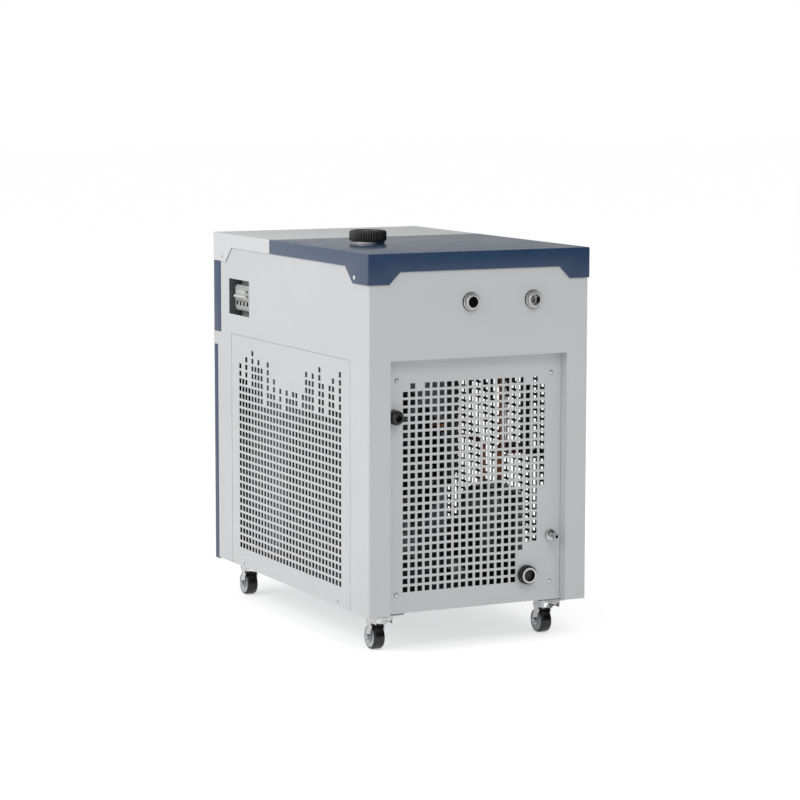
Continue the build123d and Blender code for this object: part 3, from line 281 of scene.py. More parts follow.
def copper_tube(name, rgb):
    """Drawn copper with brown stains."""
    tube = Finish(name).set(Metallic=1.0)
    tube.tint(tube.noise(26.0, 5.0), shade(rgb, 0.55), shade(rgb, 1.1), 0.3, 0.6)
    tube.roughness(tube.noise(45.0, 4.0), 0.22, 0.5)
    return tube.relief(tube.noise(300.0, 2.0), 0.06, 0.0002).material


def gloss_enamel(name, rgb):
    """Dipped black enamel with runs and dust."""
    enamel = Finish(name).set(Coat_Weight=0.6, Coat_Roughness=0.08)
    enamel.tint(enamel.noise(18.0, 5.0), rgb, shade(rgb, 2.6), 0.45, 0.8)
    enamel.roughness(enamel.noise(30.0, 4.0), 0.25, 0.5)
    return enamel.relief(enamel.noise(55.0, 3.0), 0.12, 0.0006).material


def rolled_stainless(name, rgb):
    """Stainless sheet with a vertical rolling grain."""
    sheet = Finish(name).set(Metallic=1.0)
    sheet.tint(sheet.noise(14.0, 4.0), shade(rgb, 0.9), shade(rgb, 1.05))
    grain = sheet.noise(50.0, 3.0, sheet.stretched((30, 30, 1)))
    sheet.roughness(grain, 0.24, 0.4)
    return sheet.relief(grain, 0.05, 0.0001).material


def smoked_panel(name):
    """Glossy dark display panel."""
    panel = Finish(name).set(Coat_Weight=1.0, Coat_Roughness=0.03)
    panel.tint(panel.noise(6.0, 2.0), (0.006, 0.008, 0.01), (0.012, 0.015, 0.018))
    panel.roughness(panel.noise(200.0, 2.0), 0.06, 0.12)
    return panel.relief(panel.noise(900.0, 2.0), 0.02, 0.0001).material


finishes = {}


def make_finishes(c):
    """Every finish of the chiller, by a short name."""
    along_y = (0, 1, 0)
    finishes.update({
        "wall": powder_coat("wall_powder_coat", c.wall_white, 0.34, 0.46, 0.15),
        "cover_white": powder_coat("cover_powder_coat", c.cover_white, 0.26, 0.36, 0.3),
        "cover_blue": powder_coat("cover_blue_gloss", c.cover_blue, 0.2, 0.3, 0.2),
        "trim_blue": moulded("trim_blue_moulding", c.trim_blue, 0.3, 0.42),
        "louvre": moulded("louvre_grey_moulding", c.louvre_grey, 0.4, 0.55),
        "zinc": zinc_plate("zinc_sheet", c.zinc),
        # zinc darkened to 0.55 for the inner sheet pieces: painted shade of the cabinet's inside
        "painted_shade_zinc": zinc_plate("zinc_sheet_painted_shade", shade(c.zinc, 0.55), 0.4, 0.6),
        "steel": turned_steel("turned_steel", c.steel, along_y),
        "neck_steel": turned_steel("neck_steel", c.steel, (0, 0, 1)),
        "fork": bright_plate("fork_plating", shade(c.chrome, 0.8)),
        "screw": bright_plate("screw_plating", shade(c.chrome, 0.85)),
        "black": moulded("black_moulding", c.black, 0.32, 0.46),
        "cap": moulded("cap_moulding", shade(c.black, 0.45), 0.3, 0.42, 600.0, 0.2),
        "hose": rubber("hose_rubber", c.rubber, 0.4, 0.6, 2.2),
        "tyre": rubber("tyre_rubber", c.tyre, 0.18, 0.3, 1.5),
        "insert": moulded("socket_insert_moulding", (0.07, 0.07, 0.07), 0.4, 0.6),
        "hub": moulded("hub_moulding", c.hub, 0.35, 0.5),
        "copper": copper_tube("copper_tube", c.copper),
        "breaker": moulded("breaker_moulding", c.breaker, 0.38, 0.5),
        "toggle": moulded("toggle_moulding", (0.82, 0.82, 0.8), 0.2, 0.3),
        "label": moulded("blank_label", (0.62, 0.64, 0.62), 0.45, 0.6),
        "stripe": moulded("label_stripe", (0.36, 0.5, 0.42), 0.45, 0.6),
        "enamel": gloss_enamel("compressor_enamel", (0.014, 0.014, 0.015)),
        # near-black finish of the faces that look inwards: painted shade of the cabinet's inside
        "inside": powder_coat("inside_painted_shade", (0.045, 0.047, 0.05), 0.55, 0.7, 0.0),
        "foam": rubber("filter_foam", (0.02, 0.02, 0.021), 0.8, 0.95, 2.0),
        "tray": powder_coat("tray_powder_coat", c.tray, 0.4, 0.55, 0.0),
        "slot": moulded("slot_shadow", (0.012, 0.012, 0.012), 0.5, 0.65),
        "stainless": rolled_stainless("stainless_sheet", c.tank),
        "aluminium": rolled_stainless("mill_aluminium", (0.62, 0.63, 0.64)),
        "motor": gloss_enamel("motor_enamel", (0.05, 0.055, 0.06)),
        "display": smoked_panel("display_panel"),
    })


# Mesh tools

def smooth(mesh, degrees=35.0):
    """Smooth shading with sharp edges where two faces meet at more than the angle."""
    mesh.shade_smooth()
    mesh.set_sharp_from_angle(angle=math.radians(degrees))


def piece(name, bm, finish, body="cabinet", replaced=(), degrees=35.0):
    """Finished object made of bm, which rides on body and stands for the replaced nodes."""
    mesh = bpy.data.meshes.new(name)
    bmesh.ops.recalc_face_normals(bm, faces=bm.faces)
    bm.to_mesh(mesh)
    bm.free()
    obj = bpy.data.objects.new(name, mesh)
    bpy.context.scene.collection.objects.link(obj)
    mesh.materials.append(finishes[finish])
    smooth(mesh, degrees)
    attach(obj, body)
    if replaced:
        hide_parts(*replaced)
    return obj


def modified(obj, kind, **settings):
    """Adds a modifier and applies it at once."""
    modifier = obj.modifiers.new(kind.lower(), kind)
    for key, value in settings.items():
        setattr(modifier, key, value)
    depsgraph = bpy.context.evaluated_depsgraph_get()
    mesh = bpy.data.meshes.new_from_object(obj.evaluated_get(depsgraph))
    old = obj.data
    obj.modifiers.clear()
    obj.data = mesh
    bpy.data.meshes.remove(old)
    return obj


def cut(obj, bm):
    """Takes the closed form bm away from obj."""
    mesh = bpy.data.meshes.new("cutter")
    bm.to_mesh(mesh)
    bm.free()
    cutter = bpy.data.objects.new("cutter", mesh)
    bpy.context.scene.collection.objects.link(cutter)
    modified(obj, "BOOLEAN", operation="DIFFERENCE", object=cutter, solver="EXACT")
    bpy.data.objects.remove(cutter)
    bpy.data.meshes.remove(mesh)


def dress(finish, *names):
    """Gives carried-over solids their finish."""
    for name in names:
        mesh = nodes[name].data
        mesh.materials.clear()
        mesh.materials.append(finishes[finish])
        smooth(mesh, 30.0)


def eased(name, finish, width, body="cabinet"):
    """A solid again, with its edges eased by a small radius."""
    bm = bmesh.new()
    bm.from_mesh(nodes[name].data)
    bmesh.ops.remove_doubles(bm, verts=bm.verts, dist=2e-6)
    bmesh.ops.dissolve_limit(bm, angle_limit=math.radians(0.6), verts=bm.verts, edges=bm.edges)
    sharp = [e for e in bm.edges if e.is_manifold and e.calc_face_angle(0.0) > math.radians(40.0)]
    bmesh.ops.bevel(bm, geom=sharp, offset=width, segments=2, profile=0.5,
                    affect="EDGES", clamp_overlap=True)
    return piece(f"{name}_eased", bm, finish, body, (name,), 30.0)


def paint_inside_shade(*objs):
    """Gives the faces that look into the cabinet a near-black finish, which is painted shade for
    the cabinet's inside.
    """
    middle = middle_of("cabinet_wrap")
    for obj in objs:
        obj.data.materials.append(finishes["inside"])
        for face in obj.data.polygons:
            at = obj.matrix_world @ face.center - middle
            out = obj.matrix_world.to_3x3() @ face.normal
            across = abs(out.x) > FACING and out.x * at.x < 0 and abs(at.x) > WALL_FROM[0]
            along = abs(out.y) > FACING and out.y * at.y < 0 and abs(at.y) > WALL_FROM[1]
            under = out.z < -FACING and at.z > WALL_FROM[2]
            if across or along or under:
                face.material_index = 1


def middle_of(name):
    """Centre of a solid's box."""
    low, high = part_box(name)
    return (low + high) / 2


def in_mm(points):
    """Profile given in millimetres."""
    return [(radius * MM, height * MM) for radius, height in points]


def add_box(bm, low, high):
    """Box between two corners."""
    low, high = Vector(low), Vector(high)
    matrix = Matrix.Translation((low + high) / 2) @ Matrix.Diagonal((*(high - low), 1))
    bmesh.ops.create_cube(bm, size=1.0, matrix=matrix)


def toward(axis):
    """Rotation that takes +Z to axis."""
    return Vector(axis).to_track_quat("Z", "Y").to_matrix().to_4x4()


def add_lathe(bm, profile, centre, axis, segments=48, closed=False):
    """Turns (radius, height) points about axis through centre."""
    place = Matrix.Translation(centre) @ toward(axis)
    rings = []
    for radius, height in profile:
        if radius < 1e-7:
            rings.append([bm.verts.new(place @ Vector((0, 0, height)))])
            continue
        ring = []
        for k in range(segments):
            turn = math.tau * k / segments
            ring.append(bm.verts.new(place @ Vector((radius * math.cos(turn),
                                                     radius * math.sin(turn), height))))
        rings.append(ring)
    pairs = list(zip(rings, rings[1:]))
    if closed:
        pairs.append((rings[-1], rings[0]))
    for first, second in pairs:
        for k in range(segments):
            after = (k + 1) % segments
            corners = [first[k % len(first)], first[after % len(first)],
                       second[after % len(second)], second[k % len(second)]]
            bm.faces.new(list(dict.fromkeys(corners)))
    return rings


def rounded(points, radius, steps=4):
    """Profile with each inner corner rounded by an arc of about radius."""
    result = [Vector(points[0])]
    for before, corner, after in zip(points, points[1:], points[2:]):
        before, corner, after = Vector(before), Vector(corner), Vector(after)
        back, ahead = before - corner, after - corner
        reach = min(radius, back.length * 0.45, ahead.length * 0.45)
        start = corner + back.normalized() * reach
        end = corner + ahead.normalized() * reach
        for k in range(steps + 1):
            t = k / steps
            result.append(start * (1 - t) ** 2 + corner * 2 * t * (1 - t) + end * t ** 2)
    result.append(Vector(points[-1]))
    return [tuple(p) for p in result]


# Perforated panels

def add_perforated(bm, outline, holes, place, depth):
    """Sheet with rectangular holes, all as (left, right, low, high), set by place."""
    left, right, low, high = outline
    across = sorted({round(v, 7) for hole in holes for v in hole[:2]} | {left, right})
    upward = sorted({round(v, 7) for hole in holes for v in hole[2:]} | {low, high})
    column = {v: k for k, v in enumerate(across)}
    row = {v: k for k, v in enumerate(upward)}
    empty = set()
    for hole in holes:
        a0, a1, u0, u1 = (round(v, 7) for v in hole)
        for i in range(column[a0], column[a1]):
            for j in range(row[u0], row[u1]):
                empty.add((i, j))
    made = {}

    def corner(i, j, back):
        if (i, j, back) not in made:
            point = Vector((across[i], upward[j], -depth if back else 0.0))
            made[i, j, back] = bm.verts.new(place @ point)
        return made[i, j, back]

    def solid(i, j):
        return 0 <= i < len(across) - 1 and 0 <= j < len(upward) - 1 and (i, j) not in empty

    for i in range(len(across) - 1):
        for j in range(len(upward) - 1):
            if not solid(i, j):
                continue
            square = [(i, j), (i + 1, j), (i + 1, j + 1), (i, j + 1)]
            bm.faces.new([corner(a, b, False) for a, b in square])
            bm.faces.new([corner(a, b, True) for a, b in reversed(square)])
            beside = [(i, j - 1), (i + 1, j), (i, j + 1), (i - 1, j)]
            for k, (a, b) in enumerate(beside):
                if not solid(a, b):
                    first, second = square[k], square[(k + 1) % 4]
                    bm.faces.new([corner(*first, True), corner(*second, True),
                                  corner(*second, False), corner(*first, False)])


def square_holes(p, heights, first_row=None):
    """Square holes, column by column, from the middle of the panel's foot."""
    holes = []
    half = p.hole / 2
    for c, height in enumerate(heights):
        x = (c - (len(heights) - 1) / 2) * p.pitch
        for r in range(first_row(c) if first_row else 0, height):
            u = p.low_row + r * p.pitch
            holes.append((x - half, x + half, u - half, u + half))
    return holes


PANEL_GAP = 0.5 * MM                 # taken off a side panel's edges, so that the joint shows
# Rows that each column of a side grille lacks at its top, from front to rear.
SHORT_BY = (2, 4, 1, 5, 0, 2, 1, 2, 7, 1, 5, 3, 6, 4, 7, 4,
            5, 4, 4, 6, 4, 1, 2, 1, 6, 0, 2, 6, 2, 1, 5, 0)


def side_heights(p):
    """Rows in each column of a side grille, whose holes end at a ragged line."""
    return [p.side_rows - SHORT_BY[c % len(SHORT_BY)] for c in range(p.side_columns)]


def rear_heights(p):
    """Rows in each column of the rear grille, one less near its upper corners."""
    heights = [p.rear_rows] * p.rear_columns
    for c in (0, 2, p.rear_columns - 3, p.rear_columns - 1):
        heights[c] -= 1
    return heights


def rear_first_row(column):
    """Rows left out at the foot of a column, where the fittings are."""
    return {16: 4, 17: 5, 18: 5, 19: 12}.get(column, 0)


def panel_place(name, side):
    """Panel's own axes: across, up and out, from the middle of its foot."""
    low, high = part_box(name)
    middle = (low + high) / 2
    out = RIGHT * side if side else REAR
    across = UP.cross(out)
    origin = Vector((high.x if side > 0 else low.x, middle.y, low.z)) if side else \
        Vector((middle.x, high.y, low.z))
    matrix = Matrix((across, UP, out)).transposed().to_4x4()
    matrix.translation = origin
    width = (high.y - low.y) if side else (high.x - low.x)
    return matrix, (-width / 2, width / 2, 0.0, high.z - low.z)


def knockout(place, at, half):
    """Square opening round a point of the frame, in the panel's own axes."""
    point = place.inverted() @ Vector(at)
    return (point.x - half, point.x + half, point.y - half, point.y + half)


class CHILLER_OT_side_grilles(Operator):
    """Both flush side panels with their square holes"""
    bl_idname = "chiller.side_grilles"
    bl_label = "Side grilles"

    def execute(self, context):
        p = context.scene.chiller_panels
        for name, side in (("side_grille_right", 1), ("side_grille_left", -1)):
            place, (left, right, foot, top) = panel_place(name, side)
            outline = (left + PANEL_GAP, right - PANEL_GAP, foot + PANEL_GAP, top - PANEL_GAP)
            heights = side_heights(p)
            bm = bmesh.new()
            add_perforated(bm, outline, square_holes(p, heights[::side]), place,
                           context.scene.chiller_trim.sheet)
            # the faces that look into the cabinet get painted shade
            paint_inside_shade(piece(f"{name}_perforated", bm, "wall", replaced=(name,)))
        return {"FINISHED"}


class CHILLER_OT_rear_grille(Operator):
    """The panel at the back of the recess, with its square holes"""
    bl_idname = "chiller.rear_grille"
    bl_label = "Rear grille"

    def execute(self, context):
        p = context.scene.chiller_panels
        place, outline = panel_place("rear_grille", 0)
        holes = square_holes(p, rear_heights(p)[::-1], rear_first_row)
        for name, half in (("mains_gland", 10.2), ("drain_nipple", 5.4), ("service_socket", 12.8)):
            holes.append(knockout(place, middle_of(name), half * MM))
        bm = bmesh.new()
        add_perforated(bm, outline, holes, place, context.scene.chiller_trim.sheet)
        # the faces that look into the cabinet get painted shade
        paint_inside_shade(piece("rear_grille_perforated", bm, "wall",
                          replaced=("rear_grille",)))
        return {"FINISHED"}


# Covers

NECK_HOLE = 28.8                     # radius in mm of the hole for the filler neck
SIDE_RISE = 28.5 * MM                # height of a side skirt away from its tab
FRONT_TAB = 65 * MM                  # flat foot of a side tab at the front end
BACK_TAB = 70.5 * MM                 # and at the rear end
SIDE_SLANT = 33.5 * MM               # slanted end of a side tab, along the skirt
REAR_TABS = (45 * MM, 23.5 * MM, 36 * MM)   # rear skirt: tab's foot, its slant, middle height
JOINT_BEFORE = 0.3 * MM              # joint of the covers in front of the source's
JOINT_GAP = 0.2 * MM                 # what shows between the two covers


def add_folded(bm, top_corners, skirts, fold):
    """Single sheet of a top and its skirts, with the folds rounded."""
    seen = {}

    def corner(point):
        key = tuple(round(v, 6) for v in point)
        if key not in seen:
            seen[key] = bm.verts.new(point)
        return seen[key]

    bm.faces.new([corner(p) for p in top_corners])
    for skirt in skirts:
        bm.faces.new([corner(p) for p in skirt])
    bmesh.ops.recalc_face_normals(bm, faces=bm.faces)
    folds = [e for e in bm.edges if len(e.link_faces) == 2]
    bmesh.ops.bevel(bm, geom=folds, offset=fold, segments=5, profile=0.5, affect="EDGES")


def cover_sheet(name, finish, ends, tab_end, end_tab, trim):
    """Folded cover between its end skirt and its open joint, whose places along Y are ends."""
    low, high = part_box(name)
    end_y, joint_y = ends
    way = 1 if joint_y > end_y else -1
    rise = high.z - SIDE_RISE
    line = [(end_y, low.z), (end_y + way * tab_end, low.z),
            (end_y + way * (tab_end + SIDE_SLANT), rise), (joint_y, rise)]
    skirts = []
    for x in (low.x, high.x):
        skirts.append([(x, joint_y, high.z), (x, end_y, high.z)] + [(x, y, z) for y, z in line])
    end = [(low.x, end_y, high.z), (high.x, end_y, high.z), (high.x, end_y, low.z)]
    if end_tab:
        flat, slant, mid = end_tab
        for side in (1, -1):
            x = high.x if side > 0 else low.x
            tab = [(x - side * flat, end_y, low.z),
                   (x - side * (flat + slant), end_y, high.z - mid)]
            end += tab if side > 0 else tab[::-1]
    end.append((low.x, end_y, low.z))
    top = [(low.x, joint_y, high.z), (high.x, joint_y, high.z), (high.x, end_y, high.z),
           (low.x, end_y, high.z)]
    bm = bmesh.new()
    add_folded(bm, top, skirts + [end], trim.fold)
    obj = piece(f"{name}_folded", bm, finish, replaced=(name,))
    modified(obj, "SOLIDIFY", thickness=trim.sheet, offset=-1.0, use_even_offset=True)
    return obj


class CHILLER_OT_covers(Operator):
    """Blue rear cover, white front cover and the lap under both, folded from sheet"""
    bl_idname = "chiller.covers"
    bl_label = "Top covers"

    def execute(self, context):
        trim = context.scene.chiller_trim
        back_low, back_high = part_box("top_cover_rear")
        joint = back_low.y - JOINT_BEFORE
        half_gap = JOINT_GAP / 2
        rear = cover_sheet("top_cover_rear", "cover_blue",
                           (back_high.y, joint + half_gap), BACK_TAB, REAR_TABS, trim)
        bm = bmesh.new()
        middle = middle_of("filler_neck")
        add_lathe(bm, in_mm([(0, -30), (NECK_HOLE, -30), (NECK_HOLE, 30), (0, 30)]),
                  (middle.x, middle.y, back_high.z), UP)
        cut(rear, bm)
        smooth(rear.data, 25.0)
        low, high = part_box("top_cover_front")
        front = cover_sheet("top_cover_front", "cover_white",
                            (low.y, joint - half_gap), FRONT_TAB, None, trim)
        smooth(front.data, 25.0)
        strip = bmesh.new()
        add_box(strip, (low.x + 5 * MM, back_low.y - 14 * MM, high.z - 3.1 * MM),
                (high.x - 5 * MM, high.y, high.z - 1.6 * MM))
        piece("cover_joint_strip", strip, "cover_white")
        return {"FINISHED"}


class CHILLER_OT_cabinet(Operator):
    """Walls, floor, shelf and inner front sheet"""
    bl_idname = "chiller.cabinet"
    bl_label = "Cabinet"

    def execute(self, context):
        dress("wall", "cabinet_wrap", "front_panel")
        # inward faces of the walls and the front sheet get painted shade
        paint_inside_shade(nodes["cabinet_wrap"], nodes["front_panel"])
        # inner sheet pieces take the zinc darkened as painted shade
        dress("painted_shade_zinc", "base_pan", "equipment_shelf", "fan_shroud", "condenser_frame")
        dress("tray", "breaker_tray")
        dress("zinc", "control_box")
        return {"FINISHED"}


class CHILLER_OT_front(Operator):
    """Control bezel, display, intake frame, louvres and the filter behind them"""
    bl_idname = "chiller.front"
    bl_label = "Front"

    def execute(self, context):
        eased("control_bezel", "trim_blue", 0.8 * MM)
        eased("intake_frame", "trim_blue", 0.8 * MM)
        eased("intake_louvres", "louvre", 0.4 * MM)
        dress("display", "display_window")
        low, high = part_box("intake_louvres")
        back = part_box("front_panel")[1].y
        foam = bmesh.new()
        add_box(foam, (low.x + 1 * MM, back + 0.4 * MM, low.z + 1 * MM),
                (high.x - 1 * MM, back + 4.4 * MM, high.z - 1 * MM))
        piece("intake_filter", foam, "foam")
        return {"FINISHED"}


# Filler

class CHILLER_OT_filler(Operator):
    """Neck, seal and ribbed cap"""
    bl_idname = "chiller.filler"
    bl_label = "Filler"

    def execute(self, context):
        low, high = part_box("filler_neck")
        middle = middle_of("filler_neck")
        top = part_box("top_cover_rear")[1].z
        ring, outer, bore = 34.5 * MM, 28.5 * MM, 27 * MM
        profile = [(outer, low.z), (outer, top), (ring - 0.4 * MM, top),
                   (ring, top + 0.4 * MM), (ring, high.z - 1.4 * MM), (ring - 1.2 * MM, high.z),
                   (bore + 0.4 * MM, high.z), (bore, high.z - 0.4 * MM), (bore, low.z)]
        bm = bmesh.new()
        add_lathe(bm, profile, (middle.x, middle.y, 0), UP, 96, closed=True)
        piece("filler_neck_turned", bm, "neck_steel", replaced=("filler_neck",))
        dress("hose", "filler_seal")
        low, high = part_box("filler_cap")
        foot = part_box("filler_seal")[0].z
        centre = Vector(((low.x + high.x) / 2, (low.y + high.y) / 2, foot))
        radius = (high.x - low.x) / 2
        ribs = context.scene.chiller_trim.cap_ribs
        steps = 8
        around = ribs * steps
        tall = high.z - foot
        depth = 1.5 * MM
        side = [(radius - 0.8 * MM, 0.0), (radius, 0.8 * MM), (radius, tall - 4 * MM),
                (radius - 0.8 * MM, tall - 2.6 * MM)]
        top = [(radius - 2.4 * MM, tall - 1.2 * MM), (radius - 4.2 * MM, tall - 0.2 * MM),
               (radius - 6.0 * MM, tall), (radius - 7.6 * MM, tall - 0.2 * MM),
               (radius - 8.4 * MM, tall - 2.0 * MM)]
        bm = bmesh.new()
        rings = []
        for points, dip in ((side, depth), (top, 0.0)):
            for reach, height in points:
                ring = []
                for k in range(around):
                    wave = 0.5 - 0.5 * math.cos(math.tau * k / steps)
                    r = reach - dip * wave ** 2
                    turn = math.tau * k / around
                    ring.append(bm.verts.new(centre + Vector((r * math.cos(turn),
                                                              r * math.sin(turn), height))))
                rings.append(ring)
        for first, second in zip(rings, rings[1:]):
            for k in range(around):
                after = (k + 1) % around
                bm.faces.new([first[k], first[after], second[after], second[k]])
        bm.faces.new(rings[-1])
        inner = 33.3 * MM
        plug = 26.1 * MM
        drop = foot - low.z
        under = [(inner, 0.0), (inner, 3.3 * MM), (plug, 3.3 * MM), (plug, -drop + 1 * MM),
                 (plug - 1 * MM, -drop), (plug - 3.1 * MM, -drop),
                 (plug - 3.1 * MM, 3.0 * MM), (0, 3.0 * MM)]
        seat = add_lathe(bm, under, centre, UP, around)
        for k in range(around):
            after = (k + 1) % around
            bm.faces.new([rings[0][k], rings[0][after], seat[0][after], seat[0][k]])
        piece("filler_cap_ribbed", bm, "cap", "cap", ("filler_cap",), 28.0)
        return {"FINISHED"}


# Fittings

def hexagon_ring(outer, inner, low, high):
    """Closed profile of a ring given in mm, for a lathe of six segments."""
    return in_mm([(inner, low), (outer, low), (outer, high), (inner, high)])


COLLAR = ((15.1, 0), (17.1, 0), (17.5, 0.4), (17.5, 1.6), (16.4, 1.9), (16.4, 2.7), (17.5, 3.0),
          (17.5, 4.6), (16.6, 5.6), (15.1, 5.6))
NOSE = ((15, -30), (15, 10.4), (14.6, 11.2), (13.6, 12), (11.2, 12))
PLAIN_BORE = ((10.5, 11.2), (10.5, -30))
STEPPED_BORE = ((10.5, 11.2), (10.5, -16), (6, -16), (6, -30))


class CHILLER_OT_fittings(Operator):
    """Ports with their collars and gaskets, drain, gland and socket"""
    bl_idname = "chiller.fittings"
    bl_label = "Rear fittings"

    def execute(self, context):
        eased("drain_nipple", "steel", 0.35 * MM)
        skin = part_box("cabinet_wrap")[1].y
        collars = bmesh.new()
        centres = {}
        for name, bore in (("outlet_port", PLAIN_BORE), ("return_port", STEPPED_BORE)):
            middle = middle_of(name)
            centre = centres[name] = Vector((middle.x, skin, middle.z))
            port = bmesh.new()
            add_lathe(port, in_mm(NOSE + bore), centre, REAR, 64, closed=True)
            add_lathe(port, hexagon_ring(20.7, 15.05, -7.5, -1.5), centre, REAR, 6, closed=True)
            if bore is STEPPED_BORE:
                add_lathe(port, hexagon_ring(12.1, 9.24, -16, -7), centre, REAR, 6, closed=True)
            piece(f"{name}_turned", port, "steel", replaced=(name,))
            add_lathe(collars, in_mm(COLLAR), centre, REAR, 64, closed=True)
        piece("port_collars", collars, "steel", replaced=("port_locknuts",))
        for name in ("service_socket", "mains_gland"):
            eased(name, "black", 0.35 * MM)
        dress("insert", "socket_insert")
        for name, centre in centres.items():
            bm = bmesh.new()
            profile = rounded(in_mm([(17.4, 0), (18.6, 0), (18.6, 0.9), (17.4, 0.9)]), 0.3 * MM)
            add_lathe(bm, profile, centre, REAR, 64, closed=True)
            piece(f"{name}_gasket", bm, "hose")
        middle = middle_of("service_socket")
        centre = Vector((middle.x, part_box("service_socket")[1].y - 1.0 * MM, middle.z))
        bm = bmesh.new()
        profile = rounded(in_mm([(12.0, 0), (15.9, 0), (15.9, 1.3), (12.0, 1.3)]), 0.4 * MM)
        add_lathe(bm, profile, centre, REAR, 64, closed=True)
        piece("socket_ring", bm, "steel")
        return {"FINISHED"}


class CHILLER_OT_screws(Operator):
    """Panel screws and caster bolts"""
    bl_idname = "chiller.screws"
    bl_label = "Screws and bolts"

    def execute(self, context):
        eased("fasteners", "screw", 0.3 * MM)
        return {"FINISHED"}


POLES = 4


def face_label(name, finish, foot, top, proud):
    """Flat piece on the breaker's face, whose foot and top are below the body's top, in mm."""
    low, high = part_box("breaker_body")
    bm = bmesh.new()
    add_box(bm, (high.x - 0.2 * MM, low.y + 3 * MM, high.z - foot * MM),
            (high.x + proud * MM, high.y - 20 * MM, high.z - top * MM))
    piece(name, bm, finish)


class CHILLER_OT_breaker(Operator):
    """Breaker with painted shade in its slots, tied toggles, test button and a bare label"""
    bl_idname = "chiller.breaker"
    bl_label = "Breaker"

    def execute(self, context):
        eased("breaker_body", "breaker", 0.25 * MM)
        eased("breaker_toggle", "toggle", 0.3 * MM, "toggle")
        dress("black", "test_button")
        face_label("breaker_label", "label", 36.5, 20.5, 0.25)
        face_label("breaker_label_stripe", "stripe", 24, 21.5, 0.35)
        low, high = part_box("breaker_body")
        face = high.x
        bar_low, bar_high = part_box("breaker_toggle")
        axis_z = bar_low.z + 4 * MM
        wall, pin = 0.25 * MM, 2.8 * MM
        half, tall, depth = 4.15 * MM, 10.9 * MM, 13.9 * MM
        # near-black boxes round each toggle slot: painted shade inside the slots
        slot_shade = bmesh.new()
        for k in range(POLES):
            y = low.y + (k + 0.5) * (high.y - low.y) / POLES
            add_box(slot_shade, (face - depth, y - half, axis_z - tall),
                    (face - depth + wall, y + half, axis_z + tall))
            for side in (-1, 1):
                for floor, top in ((-tall, -pin), (pin, tall)):
                    add_box(slot_shade, (face - depth, y + side * half - wall / 2, axis_z + floor),
                            (face - 0.1 * MM, y + side * half + wall / 2, axis_z + top))
                edge = axis_z + side * tall
                add_box(slot_shade, (face - depth, y - half, edge - wall / 2),
                        (face - 0.1 * MM, y + half, edge + wall / 2))
        piece("breaker_slot_painted_shade", slot_shade, "slot")
        tie = bmesh.new()
        add_box(tie, (bar_high.x - 3.4 * MM, bar_low.y + 4.5 * MM, bar_high.z - 3.1 * MM),
                (bar_high.x - 0.6 * MM, bar_high.y - 4.5 * MM, bar_high.z - 0.4 * MM))
        piece("breaker_tie_bar", tie, "toggle", "toggle")
        return {"FINISHED"}


# Inside

class CHILLER_OT_condenser(Operator):
    """Condenser's headers, flat tubes and fins"""
    bl_idname = "chiller.condenser"
    bl_label = "Condenser"

    def execute(self, context):
        dress("aluminium", "condenser_core")
        low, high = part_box("condenser_core")
        bm = bmesh.new()
        header = 18.2 * MM
        pitch = context.scene.chiller_trim.fin_pitch
        count = int((high.x - low.x - 2 * header) / pitch)
        for k in range(count + 1):
            x = low.x + header + k * pitch
            add_box(bm, (x, low.y + 1 * MM, low.z + 2 * MM),
                    (x + 0.25 * MM, high.y - 1 * MM, high.z - 2 * MM))
        piece("condenser_fins", bm, "aluminium")
        return {"FINISHED"}


class CHILLER_OT_fan(Operator):
    """Fan and its motor"""
    bl_idname = "chiller.fan"
    bl_label = "Fan"

    def execute(self, context):
        dress("motor", "fan_motor")
        eased("fan_blades", "black", 0.5 * MM, "fan")
        return {"FINISHED"}


class CHILLER_OT_circuits(Operator):
    """Compressor, pump, tank, evaporator, pipes and hoses"""
    bl_idname = "chiller.circuits"
    bl_label = "Cooling circuits"

    def execute(self, context):
        dress("enamel", "compressor")
        dress("motor", "pump")
        dress("hose", "compressor_grommets", "water_hoses")
        dress("copper", "refrigerant_pipes", "filter_drier")
        dress("stainless", "reservoir_tank", "plate_evaporator")
        return {"FINISHED"}


# Casters

# Outline of what a fork's legs lack, along Y and Z, in mm from the swivel's foot.
LEG_OPENING = ((-14.5, 14), (-14.5, 26), (-8.5, 50), (-1, 57.5), (34, 57.5), (34, 14))


def open_leg(fork, swivel):
    """Cuts away what the fork's legs lack behind their narrow strip."""
    bm = bmesh.new()
    rings = [[bm.verts.new(Vector((x, y, z)) * MM + swivel) for y, z in LEG_OPENING]
             for x in (-26, 26)]
    for k in range(len(LEG_OPENING)):
        after = (k + 1) % len(LEG_OPENING)
        bm.faces.new([rings[0][k], rings[0][after], rings[1][after], rings[1][k]])
    bm.faces.new(rings[0])
    bm.faces.new(rings[1])
    bmesh.ops.recalc_face_normals(bm, faces=bm.faces)
    cut(fork, bm)
    smooth(fork.data, 30.0)


